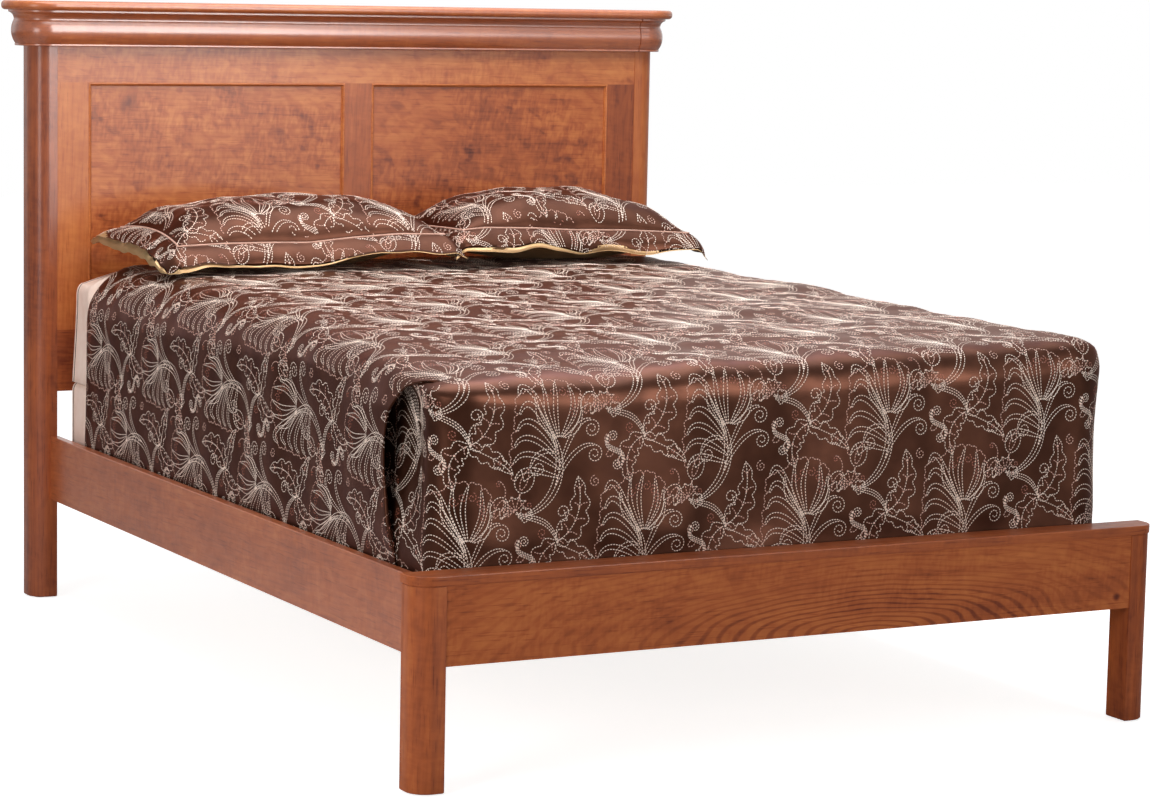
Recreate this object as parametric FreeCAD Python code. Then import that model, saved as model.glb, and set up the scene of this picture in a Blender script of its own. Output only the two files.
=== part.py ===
"""Queen panel bed of stained maple with its slats, box spring, mattress, coverlet and two pillows.

Millimetres. X runs across the bed, +Y points from the foot to the head, +Z is up. The origin is on
the floor, in the middle of the bed's overall length and width.
"""

import FreeCAD, Part
import math
import os

from FreeCAD import Vector

# ---------------------------------------------------------------- mattress size and room round it
mattress_half_width = 760.0
mattress_length = 2030.0
mattress_side_gap = 15.0  # to each side rail
mattress_foot_gap = 12.0  # to the back of the foot posts
mattress_head_gap = 38.0  # to the front of the head posts

# posts
post_width = 62.0
post_depth = 64.0
post_corner_radius = 42.0  # outer front corner, seen from above
head_post_top = 1322.0
foot_post_top = 391.0
post_foot_chamfer = 2.0
glide_height = 3.0
glide_radius = 14.0
glide_pin_radius = 2.5
glide_pin_length = 16.0

# headboard frame
frame_setback = 1.5  # rails and stiles stand this far behind the posts' front faces
frame_thickness = 25.0
top_rail_height = 85.0
bottom_rail_bottom = 501.0
bottom_rail_height = 147.0
stile_width = 78.0
center_stile_width = 72.0
tenon_length = 30.0
tenon_thickness = 9.0
tenon_shoulder = 12.0
panel_thickness = 12.0
panel_recess = 6.0  # panel face behind the frame's face
panel_groove = 9.0  # depth that the panel's edge goes into the frame
molding_width = 8.0
molding_proud = 1.2

# crown and headboard cap
crown_height = 84.0
crown_fillet = 22.0  # how far each part of the profile stands out from the post's face
crown_belly = 31.0
crown_waist = 24.5
crown_cove = 36.0
crown_bead = 38.0
crown_fillet_height = 5.0  # how far up each part is
crown_belly_height = 32.0
crown_waist_height = 61.0
crown_cove_height = 78.5
crown_ease = 1.5
crown_run_setback = 2.5  # the straight run stands behind the corner blocks
crown_joint_reveal = 1.0
cap_overhang = 55.0
cap_thickness = 22.0
cap_bullnose = 9.5
cleat_size = 28.0

# footboard
foot_rail_bottom = 241.0
foot_cap_overhang = 2.5
foot_cap_thickness = 20.0
foot_cap_reveal_height = 3.0
foot_cap_reveal_depth = 4.0
foot_cap_back_overhang = 2.5
foot_cap_edge = 2.0
foot_cleat_size = 20.0

# side rails
side_rail_setback = 45.0  # from the posts' outer faces
side_rail_thickness = 22.0
side_rail_bottom = 241.0
side_rail_height = 152.0
side_rail_edge = 2.5
rail_cleat_width = 25.0
rail_cleat_height = 35.0
rail_cleat_lift = 4.0
rail_cleat_end_gap = 45.0

# slats and centre legs
slat_count = 6
slat_width = 89.0
slat_thickness = 19.0
slat_end_gap = 1.0
slat_first = 110.0  # first slat's middle from the back of the foot posts
slat_last = 60.0  # last slat's middle from the front of the head posts
leg_size = 44.0
leg_names = ["center_leg_head", "center_leg_middle"]  # under the second and third slats from the head

# bed-rail fasteners
plate_length = 112.0
plate_width = 14.0
plate_thickness = 3.0
plate_inset = 1.0  # from the rail's outer face
plate_screw_inset = 10.0  # from the plate's end
hook_length = 10.0
hook_height = 22.0
hook_thickness = 3.0
hook_spacing = 44.0
hook_clearance = 0.5
hook_pocket_depth = 16.0

# screws
screw_radius = 2.0
screw_head_radius = 4.0
screw_head_height = 2.4

# mattress set
soft_gap = 0.4  # clearance of a soft piece from what it lies on
box_spring_height = 229.0
box_spring_wall = 12.0  # padded cover and timber round the springs, which are left out
mattress_wall = 15.0  # quilted cover and foam round the springs, which are left out
mattress_height = 267.0
mattress_corner_radius = 70.0
mattress_edge_radius = 58.0
sheet_thickness = 1.4
cover_tuck = 52.0  # the coverlet and the sheet reach this far below the side rails' top
coverlet_thickness = 4.5
coverlet_head_margin = 118.0  # the coverlet stops this far short of the mattress's head end

# pillows
pillow_length = 688.0
pillow_depth = 424.0
pillow_head_gap = 30.0  # back seam to the front face of the head posts
pillow_left_margin = 128.0  # from the mattress's left side
pillow_gap = 6.0
pillow_squeeze = 44.0  # the right pillow is pushed this much shorter
pillow_wall = 5.0  # sham, ticking and packed filling; the loose filling is left out
pillow_corner_radius = 50.0
pillow_below = 82.0  # from the seam down to the flattened underside
pillow_above = 94.0  # from the seam up to the crown
pillow_crown_inset = 165.0  # from the seam's outline in to the crown's
# share of the crown's inset at each share of the height above or below the seam
pillow_profile = [(-1.0, 0.58), (-0.72, 0.29), (-0.36, 0.085), (0.0, 0.0)]
pillow_profile += [(0.3, 0.085), (0.6, 0.29), (0.84, 0.6), (1.0, 1.0)]
flange_drop = 56.0
flange_side_reach = 42.0
flange_front_reach = 14.0
flange_thickness = 5.0

# ---------------------------------------------------------------- places that follow
side_rail_length = mattress_foot_gap + mattress_length + mattress_head_gap
post_pitch_y = post_depth + side_rail_length
total_length = foot_cap_overhang + post_pitch_y + post_depth
foot_face = foot_cap_overhang - total_length / 2  # Y of the footboard posts' front face
head_face = foot_face + post_pitch_y  # Y of the headboard posts' front face
head_back = head_face + post_depth
side_rail_inner = mattress_half_width + mattress_side_gap
side_rail_outer = side_rail_inner + side_rail_thickness
post_outer = side_rail_outer + side_rail_setback
post_inner = post_outer - post_width
crown_top = head_post_top + crown_height
side_rail_top = side_rail_bottom + side_rail_height
cleat_bottom = side_rail_bottom + rail_cleat_lift
cleat_top = cleat_bottom + rail_cleat_height
slat_top = cleat_top + slat_thickness
box_bottom = slat_top + soft_gap
box_top = box_bottom + box_spring_height
mattress_bottom = box_top + soft_gap
mattress_top = mattress_bottom + mattress_height
mattress_foot = foot_face + post_depth + mattress_foot_gap
mattress_head = mattress_foot + mattress_length
sheet_inner = soft_gap
sheet_outer = sheet_inner + sheet_thickness
coverlet_inner = sheet_outer + soft_gap
coverlet_outer = coverlet_inner + coverlet_thickness
screw_length = 1.6 * slat_thickness
pillow_left_end = pillow_left_margin - mattress_half_width
pillow_middle = pillow_left_end + pillow_length
pillow_right_end = pillow_middle + pillow_gap + pillow_length - pillow_squeeze

PARTS = "parts"
made = []


# ---------------------------------------------------------------- helpers
def box(x0, x1, y0, y1, z0, z1):
    """A box between two corners."""
    return Part.makeBox(x1 - x0, y1 - y0, z1 - z0, Vector(x0, y0, z0))


def mirrored(shape):
    """The same shape on the other side of the bed's middle."""
    return shape.mirror(Vector(0, 0, 0), Vector(1, 0, 0))


def one(shapes):
    """Several solids kept apart in one node."""
    return Part.makeCompound(list(shapes))


def write(name, shape):
    """Save a node and note its name."""
    shape.exportStep(os.path.join(PARTS, name + ".step"))
    made.append((name, len(shape.Solids), shape.Volume))


def filleted(shape, radius, picks):
    """Round the edges that picks chooses."""
    edges = [e for e in shape.Edges if picks(e)]
    return shape.makeFillet(radius, edges) if edges else shape


def at_level(edge, z):
    """True for an edge that lies in the plane Z = z."""
    return all(abs(v.Z - z) < 1e-6 for v in edge.Vertexes)


def rounded_front(x_half, y_front, y_back, radius, z0, z1):
    """A block, mirrored about the bed's middle, whose two front corners are rounded in plan."""
    across = x_half - radius
    bend = radius * math.sqrt(0.5)
    left, right = Vector(-x_half, y_front + radius, z0), Vector(x_half, y_front + radius, z0)
    front_left, front_right = Vector(-across, y_front, z0), Vector(across, y_front, z0)
    left_mid = Vector(-across - bend, y_front + radius - bend, z0)
    right_mid = Vector(across + bend, y_front + radius - bend, z0)
    edges = [
        Part.LineSegment(Vector(-x_half, y_back, z0), left).toShape(),
        Part.Arc(left, left_mid, front_left).toShape(),
        Part.LineSegment(front_left, front_right).toShape(),
        Part.Arc(front_right, right_mid, right).toShape(),
        Part.LineSegment(right, Vector(x_half, y_back, z0)).toShape(),
        Part.LineSegment(Vector(x_half, y_back, z0), Vector(-x_half, y_back, z0)).toShape(),
    ]
    return Part.Face(Part.Wire(edges)).extrude(Vector(0, 0, z1 - z0))


def screw(point, direction, length=screw_length):
    """A countersunk wood screw: its head's face is at point and its shank runs along direction."""
    head = Part.makeCone(screw_head_radius, screw_radius, screw_head_height, point, direction)
    return head.fuse(Part.makeCylinder(screw_radius, length, point, direction)).removeSplitter()


# ---------------------------------------------------------------- posts
def left_post(y_front, top):
    """A left post with its outer front corner rounded and its foot eased, before any mortise."""
    whole = rounded_front(post_outer, y_front, y_front + post_depth, post_corner_radius, glide_height, top)
    post = whole.common(box(-post_outer - 1, -post_inner, y_front - 1, y_front + post_depth + 1, 0, top))
    return post.makeChamfer(post_foot_chamfer, [e for e in post.Edges if at_level(e, glide_height)])


def glide(x, y):
    """A plastic glide with its pin, under a post or a leg."""
    disc = Part.makeCylinder(glide_radius, glide_height, Vector(x, y, 0))
    pin = Part.makeCylinder(glide_pin_radius, glide_pin_length, Vector(x, y, glide_height))
    return disc.fuse(pin).removeSplitter()


# ---------------------------------------------------------------- headboard frame
frame_front = head_face + frame_setback
frame_back = frame_front + frame_thickness
top_rail_bottom = head_post_top - top_rail_height
bottom_rail_top = bottom_rail_bottom + bottom_rail_height
stile_inner = post_inner - stile_width
center_half = center_stile_width / 2
tenon_front = frame_front + (frame_thickness - tenon_thickness) / 2
tenon_back = tenon_front + tenon_thickness
panel_front = frame_front + panel_recess
panel_back = panel_front + panel_thickness


def rail_with_tenons(half, y_front, thickness, z0, z1):
    """A rail from post to post with a stub tenon at each end."""
    body = box(-half, half, y_front, y_front + thickness, z0, z1)
    middle = y_front + thickness / 2
    tenons = box(
        -half - tenon_length,
        half + tenon_length,
        middle - tenon_thickness / 2,
        middle + tenon_thickness / 2,
        z0 + tenon_shoulder,
        z1 - tenon_shoulder,
    )
    return body.fuse(tenons).removeSplitter()


def panel(x0, x1):
    """A flat panel whose edges run into the frame's grooves."""
    return box(
        x0 - panel_groove,
        x1 + panel_groove,
        panel_front,
        panel_back,
        bottom_rail_top - panel_groove,
        top_rail_bottom + panel_groove,
    )


def stile(x0, x1):
    """A stile between the rails, with a stub tenon into each."""
    body = box(x0, x1, frame_front, frame_back, bottom_rail_top, top_rail_bottom)
    tenon = box(
        x0 + tenon_shoulder,
        x1 - tenon_shoulder,
        tenon_front,
        tenon_back,
        bottom_rail_top - tenon_length,
        top_rail_bottom + tenon_length,
    )
    return body.fuse(tenon).removeSplitter()


def molding_section(corner, inward_x, inward_z):
    """The bead's outline in the mitre plane at a corner of the opening."""

    def at(inward, depth):
        return Vector(
            corner[0] + inward * inward_x, panel_front - depth, corner[1] + inward * inward_z
        )

    rise = panel_recess + molding_proud
    points = [at(0, 0), at(0, rise * 0.8), at(molding_width * 0.15, rise)]
    bead = Part.Arc(points[-1], at(molding_width * 0.55, rise * 0.93), at(molding_width * 0.8, rise * 0.42))
    tail = [at(molding_width * 0.8, rise * 0.42), at(molding_width, rise * 0.3), at(molding_width, 0)]
    edges = [Part.LineSegment(a, b).toShape() for a, b in zip(points, points[1:])]
    edges.append(bead.toShape())
    edges += [Part.LineSegment(a, b).toShape() for a, b in zip(tail, tail[1:])]
    edges.append(Part.LineSegment(tail[-1], points[0]).toShape())
    return Part.Wire(edges)


def panel_molding(x0, x1):
    """Four mitred strips of bead moulding round a panel."""
    z0, z1 = bottom_rail_top, top_rail_bottom
    sections = [
        molding_section((x0, z0), 1, 1),
        molding_section((x1, z0), -1, 1),
        molding_section((x1, z1), -1, -1),
        molding_section((x0, z1), 1, -1),
    ]
    pairs = zip(sections, sections[1:] + sections[:1])
    return one(Part.makeLoft([a, b], True, True) for a, b in pairs)


# ---------------------------------------------------------------- crown
def crown_edges(inner, base, along):
    """Edges of the crown's profile. along(out, up) places a point that stands out from the post face."""
    step = crown_fillet - crown_ease
    out_up = [
        (-inner, 0.0),
        (step, 0.0),
        (crown_fillet, crown_ease),
        (crown_fillet, crown_fillet_height),
        (step, crown_fillet_height),
    ]
    waist = (crown_waist, crown_waist_height)
    belly = [(step, crown_fillet_height), (crown_belly, crown_belly_height), waist]
    hollow = (
        crown_waist + 0.3 * (crown_cove - crown_waist),
        crown_waist_height + 0.7 * (crown_cove_height - crown_waist_height),
    )
    cove = [waist, hollow, (crown_cove, crown_cove_height)]
    top = [(crown_cove, crown_cove_height), (crown_bead, crown_cove_height + crown_ease)]
    top.append((crown_bead, crown_height))
    top.append((-inner, crown_height))
    place = [along(out, base + up) for out, up in out_up]
    edges = [Part.LineSegment(a, b).toShape() for a, b in zip(place, place[1:])]
    edges.append(Part.Arc(*[along(out, base + up) for out, up in belly]).toShape())
    edges.append(Part.Arc(*[along(out, base + up) for out, up in cove]).toShape())
    place = [along(out, base + up) for out, up in top]
    edges += [Part.LineSegment(a, b).toShape() for a, b in zip(place, place[1:])]
    edges.append(Part.LineSegment(place[-1], along(-inner, base)).toShape())
    return edges


def crown_face(inner, along):
    """The crown's profile as a face, its bottom on top of the posts."""
    return Part.Face(Part.Wire(crown_edges(inner, head_post_top, along)))


def left_crown_corner():
    """The rounded block on a left post: a front run, a quarter turn and a side return."""
    turn_x = -post_outer + post_corner_radius
    turn_y = head_face + post_corner_radius
    front = crown_face(post_corner_radius, lambda out, z: Vector(turn_x, head_face - out, z))
    front = front.extrude(Vector(-post_inner - turn_x, 0, 0))
    side = crown_face(post_corner_radius, lambda out, z: Vector(-post_outer - out, turn_y, z))
    side = side.extrude(Vector(0, head_back - turn_y, 0))
    turn = crown_face(post_corner_radius, lambda out, z: Vector(turn_x, head_face - out, z))
    turn = turn.revolve(Vector(turn_x, turn_y, 0), Vector(0, 0, 1), -90)
    core = box(turn_x, -post_inner, turn_y, head_back, head_post_top, crown_top)
    return front.fuse([turn, side, core]).removeSplitter()


def crown_run():
    """The straight crown between the corner blocks, on the top rail."""
    half = post_inner - crown_joint_reveal / 2
    face_y = head_face + crown_run_setback
    face = crown_face(frame_back - face_y, lambda out, z: Vector(-half, face_y - out, z))
    return face.extrude(Vector(2 * half, 0, 0))


def headboard_cap():
    """The slab on the crown, bullnosed at the front and the ends."""
    slab = rounded_front(
        post_outer + cap_overhang,
        head_face - cap_overhang,
        head_back,
        post_corner_radius + cap_overhang,
        crown_top,
        crown_top + cap_thickness,
    )

    def front_or_end(edge):
        level = at_level(edge, crown_top) or at_level(edge, crown_top + cap_thickness)
        on_back = all(abs(v.Y - head_back) < 1e-6 for v in edge.Vertexes)
        return level and not on_back

    return filleted(slab, cap_bullnose, front_or_end)


# ---------------------------------------------------------------- footboard
foot_rail_front = foot_face + frame_setback
foot_rail_back = foot_rail_front + frame_thickness
foot_cap_back = foot_face + post_depth + foot_cap_back_overhang
foot_cap_top = foot_post_top + foot_cap_thickness


def footboard_cap():
    """The thin cap with a shadow line under its edge."""
    half = post_outer + foot_cap_overhang
    radius = post_corner_radius + foot_cap_overhang
    front = foot_face - foot_cap_overhang
    reveal_top = foot_post_top + foot_cap_reveal_height
    slab = rounded_front(half, front, foot_cap_back, radius, reveal_top, foot_cap_top)
    slab = filleted(slab, foot_cap_edge, lambda e: at_level(e, foot_cap_top))
    inset = foot_cap_reveal_depth
    foot = rounded_front(
        half - inset, front + inset, foot_cap_back - inset, radius - inset, foot_post_top, reveal_top
    )
    return slab.fuse(foot).removeSplitter()


# ---------------------------------------------------------------- bed-rail fasteners
plate_x = side_rail_outer - plate_inset - plate_width / 2
plate_z = (side_rail_bottom + side_rail_top) / 2
joints_y = {"foot": (foot_face + post_depth, 1), "head": (head_face, -1)}  # face and way into the rail


def plate_block(face_y, into, thickness):
    """A plate's block against a post face; into is +1 or -1 along Y."""
    y0, y1 = sorted((face_y, face_y + into * thickness))
    half = plate_width / 2
    return box(
        -plate_x - half, -plate_x + half, y0, y1, plate_z - plate_length / 2, plate_z + plate_length / 2
    )


def hook_centres():
    """Heights of the two hooks' middles."""
    return [plate_z - hook_spacing / 2, plate_z + hook_spacing / 2]


def left_rail_hook(face_y, into):
    """The plate let into a rail's end, with two hooks that go through the post's plate."""
    plate = plate_block(face_y, into, plate_thickness)
    half = hook_thickness / 2
    hooks = []
    for z in hook_centres():
        y0, y1 = sorted((face_y, face_y - into * hook_length))
        hooks.append(box(-plate_x - half, -plate_x + half, y0, y1, z - hook_height / 2, z + hook_height / 2))
    return plate.fuse(hooks).removeSplitter()


def left_post_plate(face_y, into):
    """The slotted plate let into a post."""
    plate = plate_block(face_y, -into, plate_thickness)
    half = hook_thickness / 2 + hook_clearance
    for z in hook_centres():
        y0, y1 = face_y - plate_thickness - 1, face_y + plate_thickness + 1
        low, high = z - hook_height / 2 - hook_clearance, z + hook_height / 2 + hook_clearance
        plate = plate.cut(box(-plate_x - half, -plate_x + half, y0, y1, low, high))
    return plate


def left_post_pocket(face_y, into):
    """What is cut from a post for its plate and for the hooks behind it."""
    pocket = [plate_block(face_y, -into, plate_thickness)]
    half = hook_thickness / 2 + hook_clearance
    for z in hook_centres():
        y0, y1 = sorted((face_y, face_y - into * hook_pocket_depth))
        low, high = z - hook_height / 2 - hook_clearance, z + hook_height / 2 + hook_clearance
        pocket.append(box(-plate_x - half, -plate_x + half, y0, y1, low, high))
    return pocket


def left_plate_screws(face_y, toward):
    """Two screws through a plate, near its ends; toward is the way they are driven."""
    reach = plate_length / 2 - plate_screw_inset
    return [screw(Vector(-plate_x, face_y, plate_z + s * reach), Vector(0, toward, 0)) for s in (-1, 1)]


# ---------------------------------------------------------------- mattress set
def upright_block(grow, z0, top, head):
    """A mattress-sized block with rounded upright corners, grown outwards by grow."""
    x = mattress_half_width + grow
    block = box(-x, x, mattress_foot - grow, head, z0, top)
    upright = lambda e: abs(e.Vertexes[0].Z - e.Vertexes[-1].Z) > 1.0
    return filleted(block, mattress_corner_radius + grow, upright)


def soft_block(grow, z0, top, head):
    """The same block with its top edge rounded too."""
    block = upright_block(grow, z0, top, head)
    return filleted(block, mattress_edge_radius + grow, lambda e: at_level(e, top))


def skin(inner, outer, z0, head_in, head_out):
    """A thin cover over the mattress set, open below."""
    shell = soft_block(outer, z0, mattress_top + outer, head_out)
    return shell.cut(soft_block(inner, z0 - cover_tuck, mattress_top + inner, head_in))


def outline(x0, x1, y0, y1, radius, z):
    """A rectangle with rounded corners, as a wire at height z."""
    bend = radius * (1 - math.sqrt(0.5))
    corners = [(x1, y0, -1, 1), (x1, y1, -1, -1), (x0, y1, 1, -1), (x0, y0, 1, 1)]
    arcs = []
    for x, y, dx, dy in corners:
        along_x = Vector(x + dx * radius, y, z)
        along_y = Vector(x, y + dy * radius, z)
        middle = Vector(x + dx * bend, y + dy * bend, z)
        start, end = (along_x, along_y) if dx * dy < 0 else (along_y, along_x)
        arcs.append((start, middle, end))
    edges = []
    for here, after in zip(arcs, arcs[1:] + arcs[:1]):
        edges.append(Part.Arc(*here).toShape())
        edges.append(Part.LineSegment(here[2], after[0]).toShape())
    return Part.Wire(edges)


def filling(x0, x1, y0, y1, seam, inset):
    """The bulging body of a pillow, or the space inside it when inset is the wall."""
    wires = []
    for part, share in pillow_profile:
        rise = part * ((pillow_above if part > 0 else pillow_below) - inset)
        pinch = share * pillow_crown_inset
        edge = pinch + inset
        radius = pillow_corner_radius + pinch * 0.2
        wires.append(outline(x0 + edge, x1 - edge, y0 + edge, y1 - edge, radius, seam + rise))
    return Part.makeLoft(wires, True, True)


def pillow(x0, x1, reach_left, reach_right):
    """A pillow in its sham, whose flange hangs down from the seam."""
    y1 = head_face - pillow_head_gap
    y0 = y1 - pillow_depth
    seam = mattress_top + coverlet_outer + soft_gap + pillow_below
    body = filling(x0, x1, y0, y1, seam, 0.0)
    radius = pillow_corner_radius
    skirts = []
    for lower in (0.0, flange_thickness):
        hem = seam - flange_drop - lower
        front = y0 - flange_front_reach
        wide = outline(x0 - reach_left, x1 + reach_right, front, y1, radius, hem)
        skirts.append(Part.makeLoft([outline(x0, x1, y0, y1, radius, seam - lower), wide], True, True))
    hem = seam - flange_drop
    reach = 2 * flange_side_reach
    below = box(x0 - reach, x1 + reach, y0 - reach, y1 + reach, hem - reach, hem)
    flange = skirts[0].cut(one([skirts[1], below]))
    body = body.fuse(flange).removeSplitter()
    return body.cut(filling(x0, x1, y0, y1, seam, pillow_wall))


# ---------------------------------------------------------------- build
os.makedirs(PARTS, exist_ok=True)

# headboard posts, rails, stiles, panels
head_post = left_post(head_face, head_post_top)
top_rail = rail_with_tenons(post_inner, frame_front, frame_thickness, top_rail_bottom, head_post_top)
bottom_rail = rail_with_tenons(
    post_inner, frame_front, frame_thickness, bottom_rail_bottom, bottom_rail_top
)
left_stile = stile(-post_inner, -stile_inner)
center_stile = stile(-center_half, center_half)
left_panel = panel(-stile_inner, -center_half)
right_panel = mirrored(left_panel)
stile_tenons = [left_stile, mirrored(left_stile), center_stile]
panels = [left_panel, right_panel]

# footboard rail and cap
foot_post = left_post(foot_face, foot_post_top)
foot_rail = rail_with_tenons(post_inner, foot_rail_front, frame_thickness, foot_rail_bottom, foot_post_top)
foot_cap = footboard_cap()
foot_cleat = box(
    -post_inner + tenon_length,
    post_inner - tenon_length,
    foot_rail_back,
    foot_rail_back + foot_cleat_size,
    foot_post_top - foot_cleat_size,
    foot_post_top,
)
cap_cleat = box(
    -post_inner + tenon_length,
    post_inner - tenon_length,
    frame_back,
    frame_back + cleat_size,
    crown_top - cleat_size,
    crown_top,
)

# side rail with its ledger cleat
left_rail = box(
    -side_rail_outer, -side_rail_inner, foot_face + post_depth, head_face, side_rail_bottom, side_rail_top
)
long_top_edge = lambda e: at_level(e, side_rail_top) and e.Length > side_rail_thickness + 1
left_rail = filleted(left_rail, side_rail_edge, long_top_edge)
left_cleat = box(
    -side_rail_inner,
    -side_rail_inner + rail_cleat_width,
    foot_face + post_depth + rail_cleat_end_gap,
    head_face - rail_cleat_end_gap,
    cleat_bottom,
    cleat_top,
)

# slats
slat_half = side_rail_inner - slat_end_gap
first_y = foot_face + post_depth + slat_first
last_y = head_face - slat_last
slat_step = (last_y - first_y) / (slat_count - 1)
slat_y = [first_y + i * slat_step for i in range(slat_count)]
slats = [
    box(-slat_half, slat_half, y - slat_width / 2, y + slat_width / 2, cleat_top, slat_top) for y in slat_y
]

# centre legs
leg_half = leg_size / 2
leg_y = dict(zip(leg_names, slat_y[-2::-1]))
legs = {
    name: box(-leg_half, leg_half, y - leg_half, y + leg_half, glide_height, cleat_top)
    for name, y in leg_y.items()
}

# glides, and the holes for their pins
glide_x = post_outer - post_width / 2
glide_places = [(s * glide_x, y + post_depth / 2) for s in (-1, 1) for y in (foot_face, head_face)]
glide_places += [(0.0, y) for y in leg_y.values()]
glides = [glide(x, y) for x, y in glide_places]

# screws
screw_x = side_rail_inner - rail_cleat_width / 2
slat_screws = [
    screw(Vector(s * screw_x, y + dy, slat_top), Vector(0, 0, -1))
    for y in slat_y
    for s in (-1, 1)
    for dy in (-slat_width / 4, slat_width / 4)
]
leg_screws = [
    screw(Vector(0, y, slat_top), Vector(0, 0, -1), 3 * slat_thickness) for y in leg_y.values()
]
cleat_span = head_face - foot_face - post_depth - 2 * rail_cleat_end_gap
cleat_screw_count = 7
cleat_screws = [
    screw(
        Vector(
            s * (side_rail_inner - rail_cleat_width),
            foot_face + post_depth + rail_cleat_end_gap + cleat_span * (i + 0.5) / cleat_screw_count,
            (cleat_bottom + cleat_top) / 2,
        ),
        Vector(s, 0, 0),
        rail_cleat_width + side_rail_thickness / 2,
    )
    for s in (-1, 1)
    for i in range(cleat_screw_count)
]
cap_screw_count = 5
cap_screws = []
for i in range(cap_screw_count):
    x = (post_inner - 2 * tenon_length) * (2 * i / (cap_screw_count - 1) - 1)
    up = Vector(0, 0, 1)
    cap_screws.append(
        screw(
            Vector(x, foot_rail_back + foot_cleat_size / 2, foot_post_top - foot_cleat_size),
            up,
            foot_cleat_size + foot_cap_thickness / 2,
        )
    )
    cap_screws.append(
        screw(
            Vector(x, frame_back + cleat_size / 2, crown_top - cleat_size), up, cleat_size + cap_thickness / 2
        )
    )

# fasteners
left_hooks, left_plates, hook_screws, post_cuts = [], [], [], {}
for end, (face_y, into) in joints_y.items():
    rail_screws = left_plate_screws(face_y, into)
    post_screws = left_plate_screws(face_y, -into)
    left_hooks.append(left_rail_hook(face_y, into).cut(one(rail_screws)))
    left_plates.append(left_post_plate(face_y, into).cut(one(post_screws)))
    hook_screws += rail_screws + post_screws
    post_cuts[end] = left_post_pocket(face_y, into) + post_screws
    left_rail = left_rail.cut(one([plate_block(face_y, into, plate_thickness)] + rail_screws))

# holes
foot_post = foot_post.cut(one(post_cuts["foot"])).cut(foot_rail).cut(one(glides))
head_post = head_post.cut(one(post_cuts["head"])).cut(one([top_rail, bottom_rail])).cut(one(glides))
top_rail = top_rail.cut(one(panels)).cut(one(stile_tenons))
bottom_rail = bottom_rail.cut(one(panels)).cut(one(stile_tenons))
left_stile = left_stile.cut(left_panel)
center_stile = center_stile.cut(one(panels))
slats = [s.cut(one(slat_screws + leg_screws)) for s in slats]
legs = {name: leg.cut(one(leg_screws + glides)) for name, leg in legs.items()}
left_rail = left_rail.cut(one(cleat_screws))
left_cleat = left_cleat.cut(one(cleat_screws + slat_screws))
foot_cleat = foot_cleat.cut(one(cap_screws))
cap_cleat = cap_cleat.cut(one(cap_screws))
foot_cap = foot_cap.cut(one(cap_screws))
head_cap = headboard_cap().cut(one(cap_screws))
corner = left_crown_corner()

# mattress set
box_spring = upright_block(0.0, box_bottom, box_top, mattress_head)
box_spring = box_spring.cut(
    upright_block(
        -box_spring_wall,
        box_bottom + box_spring_wall,
        box_top - box_spring_wall,
        mattress_head - box_spring_wall,
    )
)
mattress = soft_block(0.0, mattress_bottom, mattress_top, mattress_head)
mattress = mattress.cut(
    soft_block(
        -mattress_wall,
        mattress_bottom + mattress_wall,
        mattress_top - mattress_wall,
        mattress_head - mattress_wall,
    )
)
hem = side_rail_top - cover_tuck
fitted_sheet = skin(
    sheet_inner,
    sheet_outer,
    hem,
    mattress_head + sheet_inner,
    mattress_head + sheet_outer,
)
coverlet_head = mattress_head - coverlet_head_margin
whole_cover = skin(
    coverlet_inner,
    coverlet_outer,
    hem,
    mattress_head + coverlet_inner,
    mattress_head + coverlet_outer,
)
reach = mattress_half_width + cap_overhang
coverlet = whole_cover.common(box(-reach, reach, foot_face, coverlet_head, 0, crown_top))

nodes = {
    "headboard_post_left": head_post,
    "headboard_post_right": mirrored(head_post),
    "headboard_top_rail": top_rail,
    "headboard_bottom_rail": bottom_rail,
    "headboard_stile_left": left_stile,
    "headboard_stile_right": mirrored(left_stile),
    "headboard_center_stile": center_stile,
    "headboard_panel_left": left_panel,
    "headboard_panel_right": right_panel,
    "panel_molding_left": panel_molding(-stile_inner, -center_half),
    "panel_molding_right": panel_molding(center_half, stile_inner),
    "crown_molding": crown_run(),
    "crown_corner_left": corner,
    "crown_corner_right": mirrored(corner),
    "headboard_cap": head_cap,
    "headboard_cap_cleat": cap_cleat,
    "footboard_post_left": foot_post,
    "footboard_post_right": mirrored(foot_post),
    "footboard_rail": foot_rail,
    "footboard_cap": foot_cap,
    "footboard_cap_cleat": foot_cleat,
    "side_rail_left": left_rail,
    "side_rail_right": mirrored(left_rail),
    "rail_cleat_left": left_cleat,
    "rail_cleat_right": mirrored(left_cleat),
    "rail_hooks": one(left_hooks + [mirrored(h) for h in left_hooks]),
    "post_plates": one(left_plates + [mirrored(p) for p in left_plates]),
    "hook_screws": one(hook_screws + [mirrored(s) for s in hook_screws]),
    "slat_screws": one(slat_screws + leg_screws),
    "cleat_screws": one(cleat_screws),
    "cap_screws": one(cap_screws),
    "foot_glides": one(glides),
    "box_spring": box_spring,
    "mattress": mattress,
    "fitted_sheet": fitted_sheet,
    "coverlet": coverlet,
    "pillow_right": pillow(pillow_middle + pillow_gap, pillow_right_end, 0, flange_side_reach),
    "pillow_left": pillow(pillow_left_end, pillow_middle, flange_side_reach, 0),
}
nodes.update({"slat_%d" % (i + 1): s for i, s in enumerate(slats)})
nodes.update(legs)

for name, shape in nodes.items():
    write(name, shape)

whole = Part.makeCompound(list(nodes.values())).BoundBox
print("nodes %d" % len(made))
print("size %.1f x %.1f x %.1f mm" % (whole.XLength, whole.YLength, whole.ZLength))
print("origin to box middle %.2f %.2f, floor %.2f" % (whole.Center.x, whole.Center.y, whole.ZMin))
for name, solids, volume in made:
    print("%-24s %2d solids %12.0f mm3" % (name, solids, volume))
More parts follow.
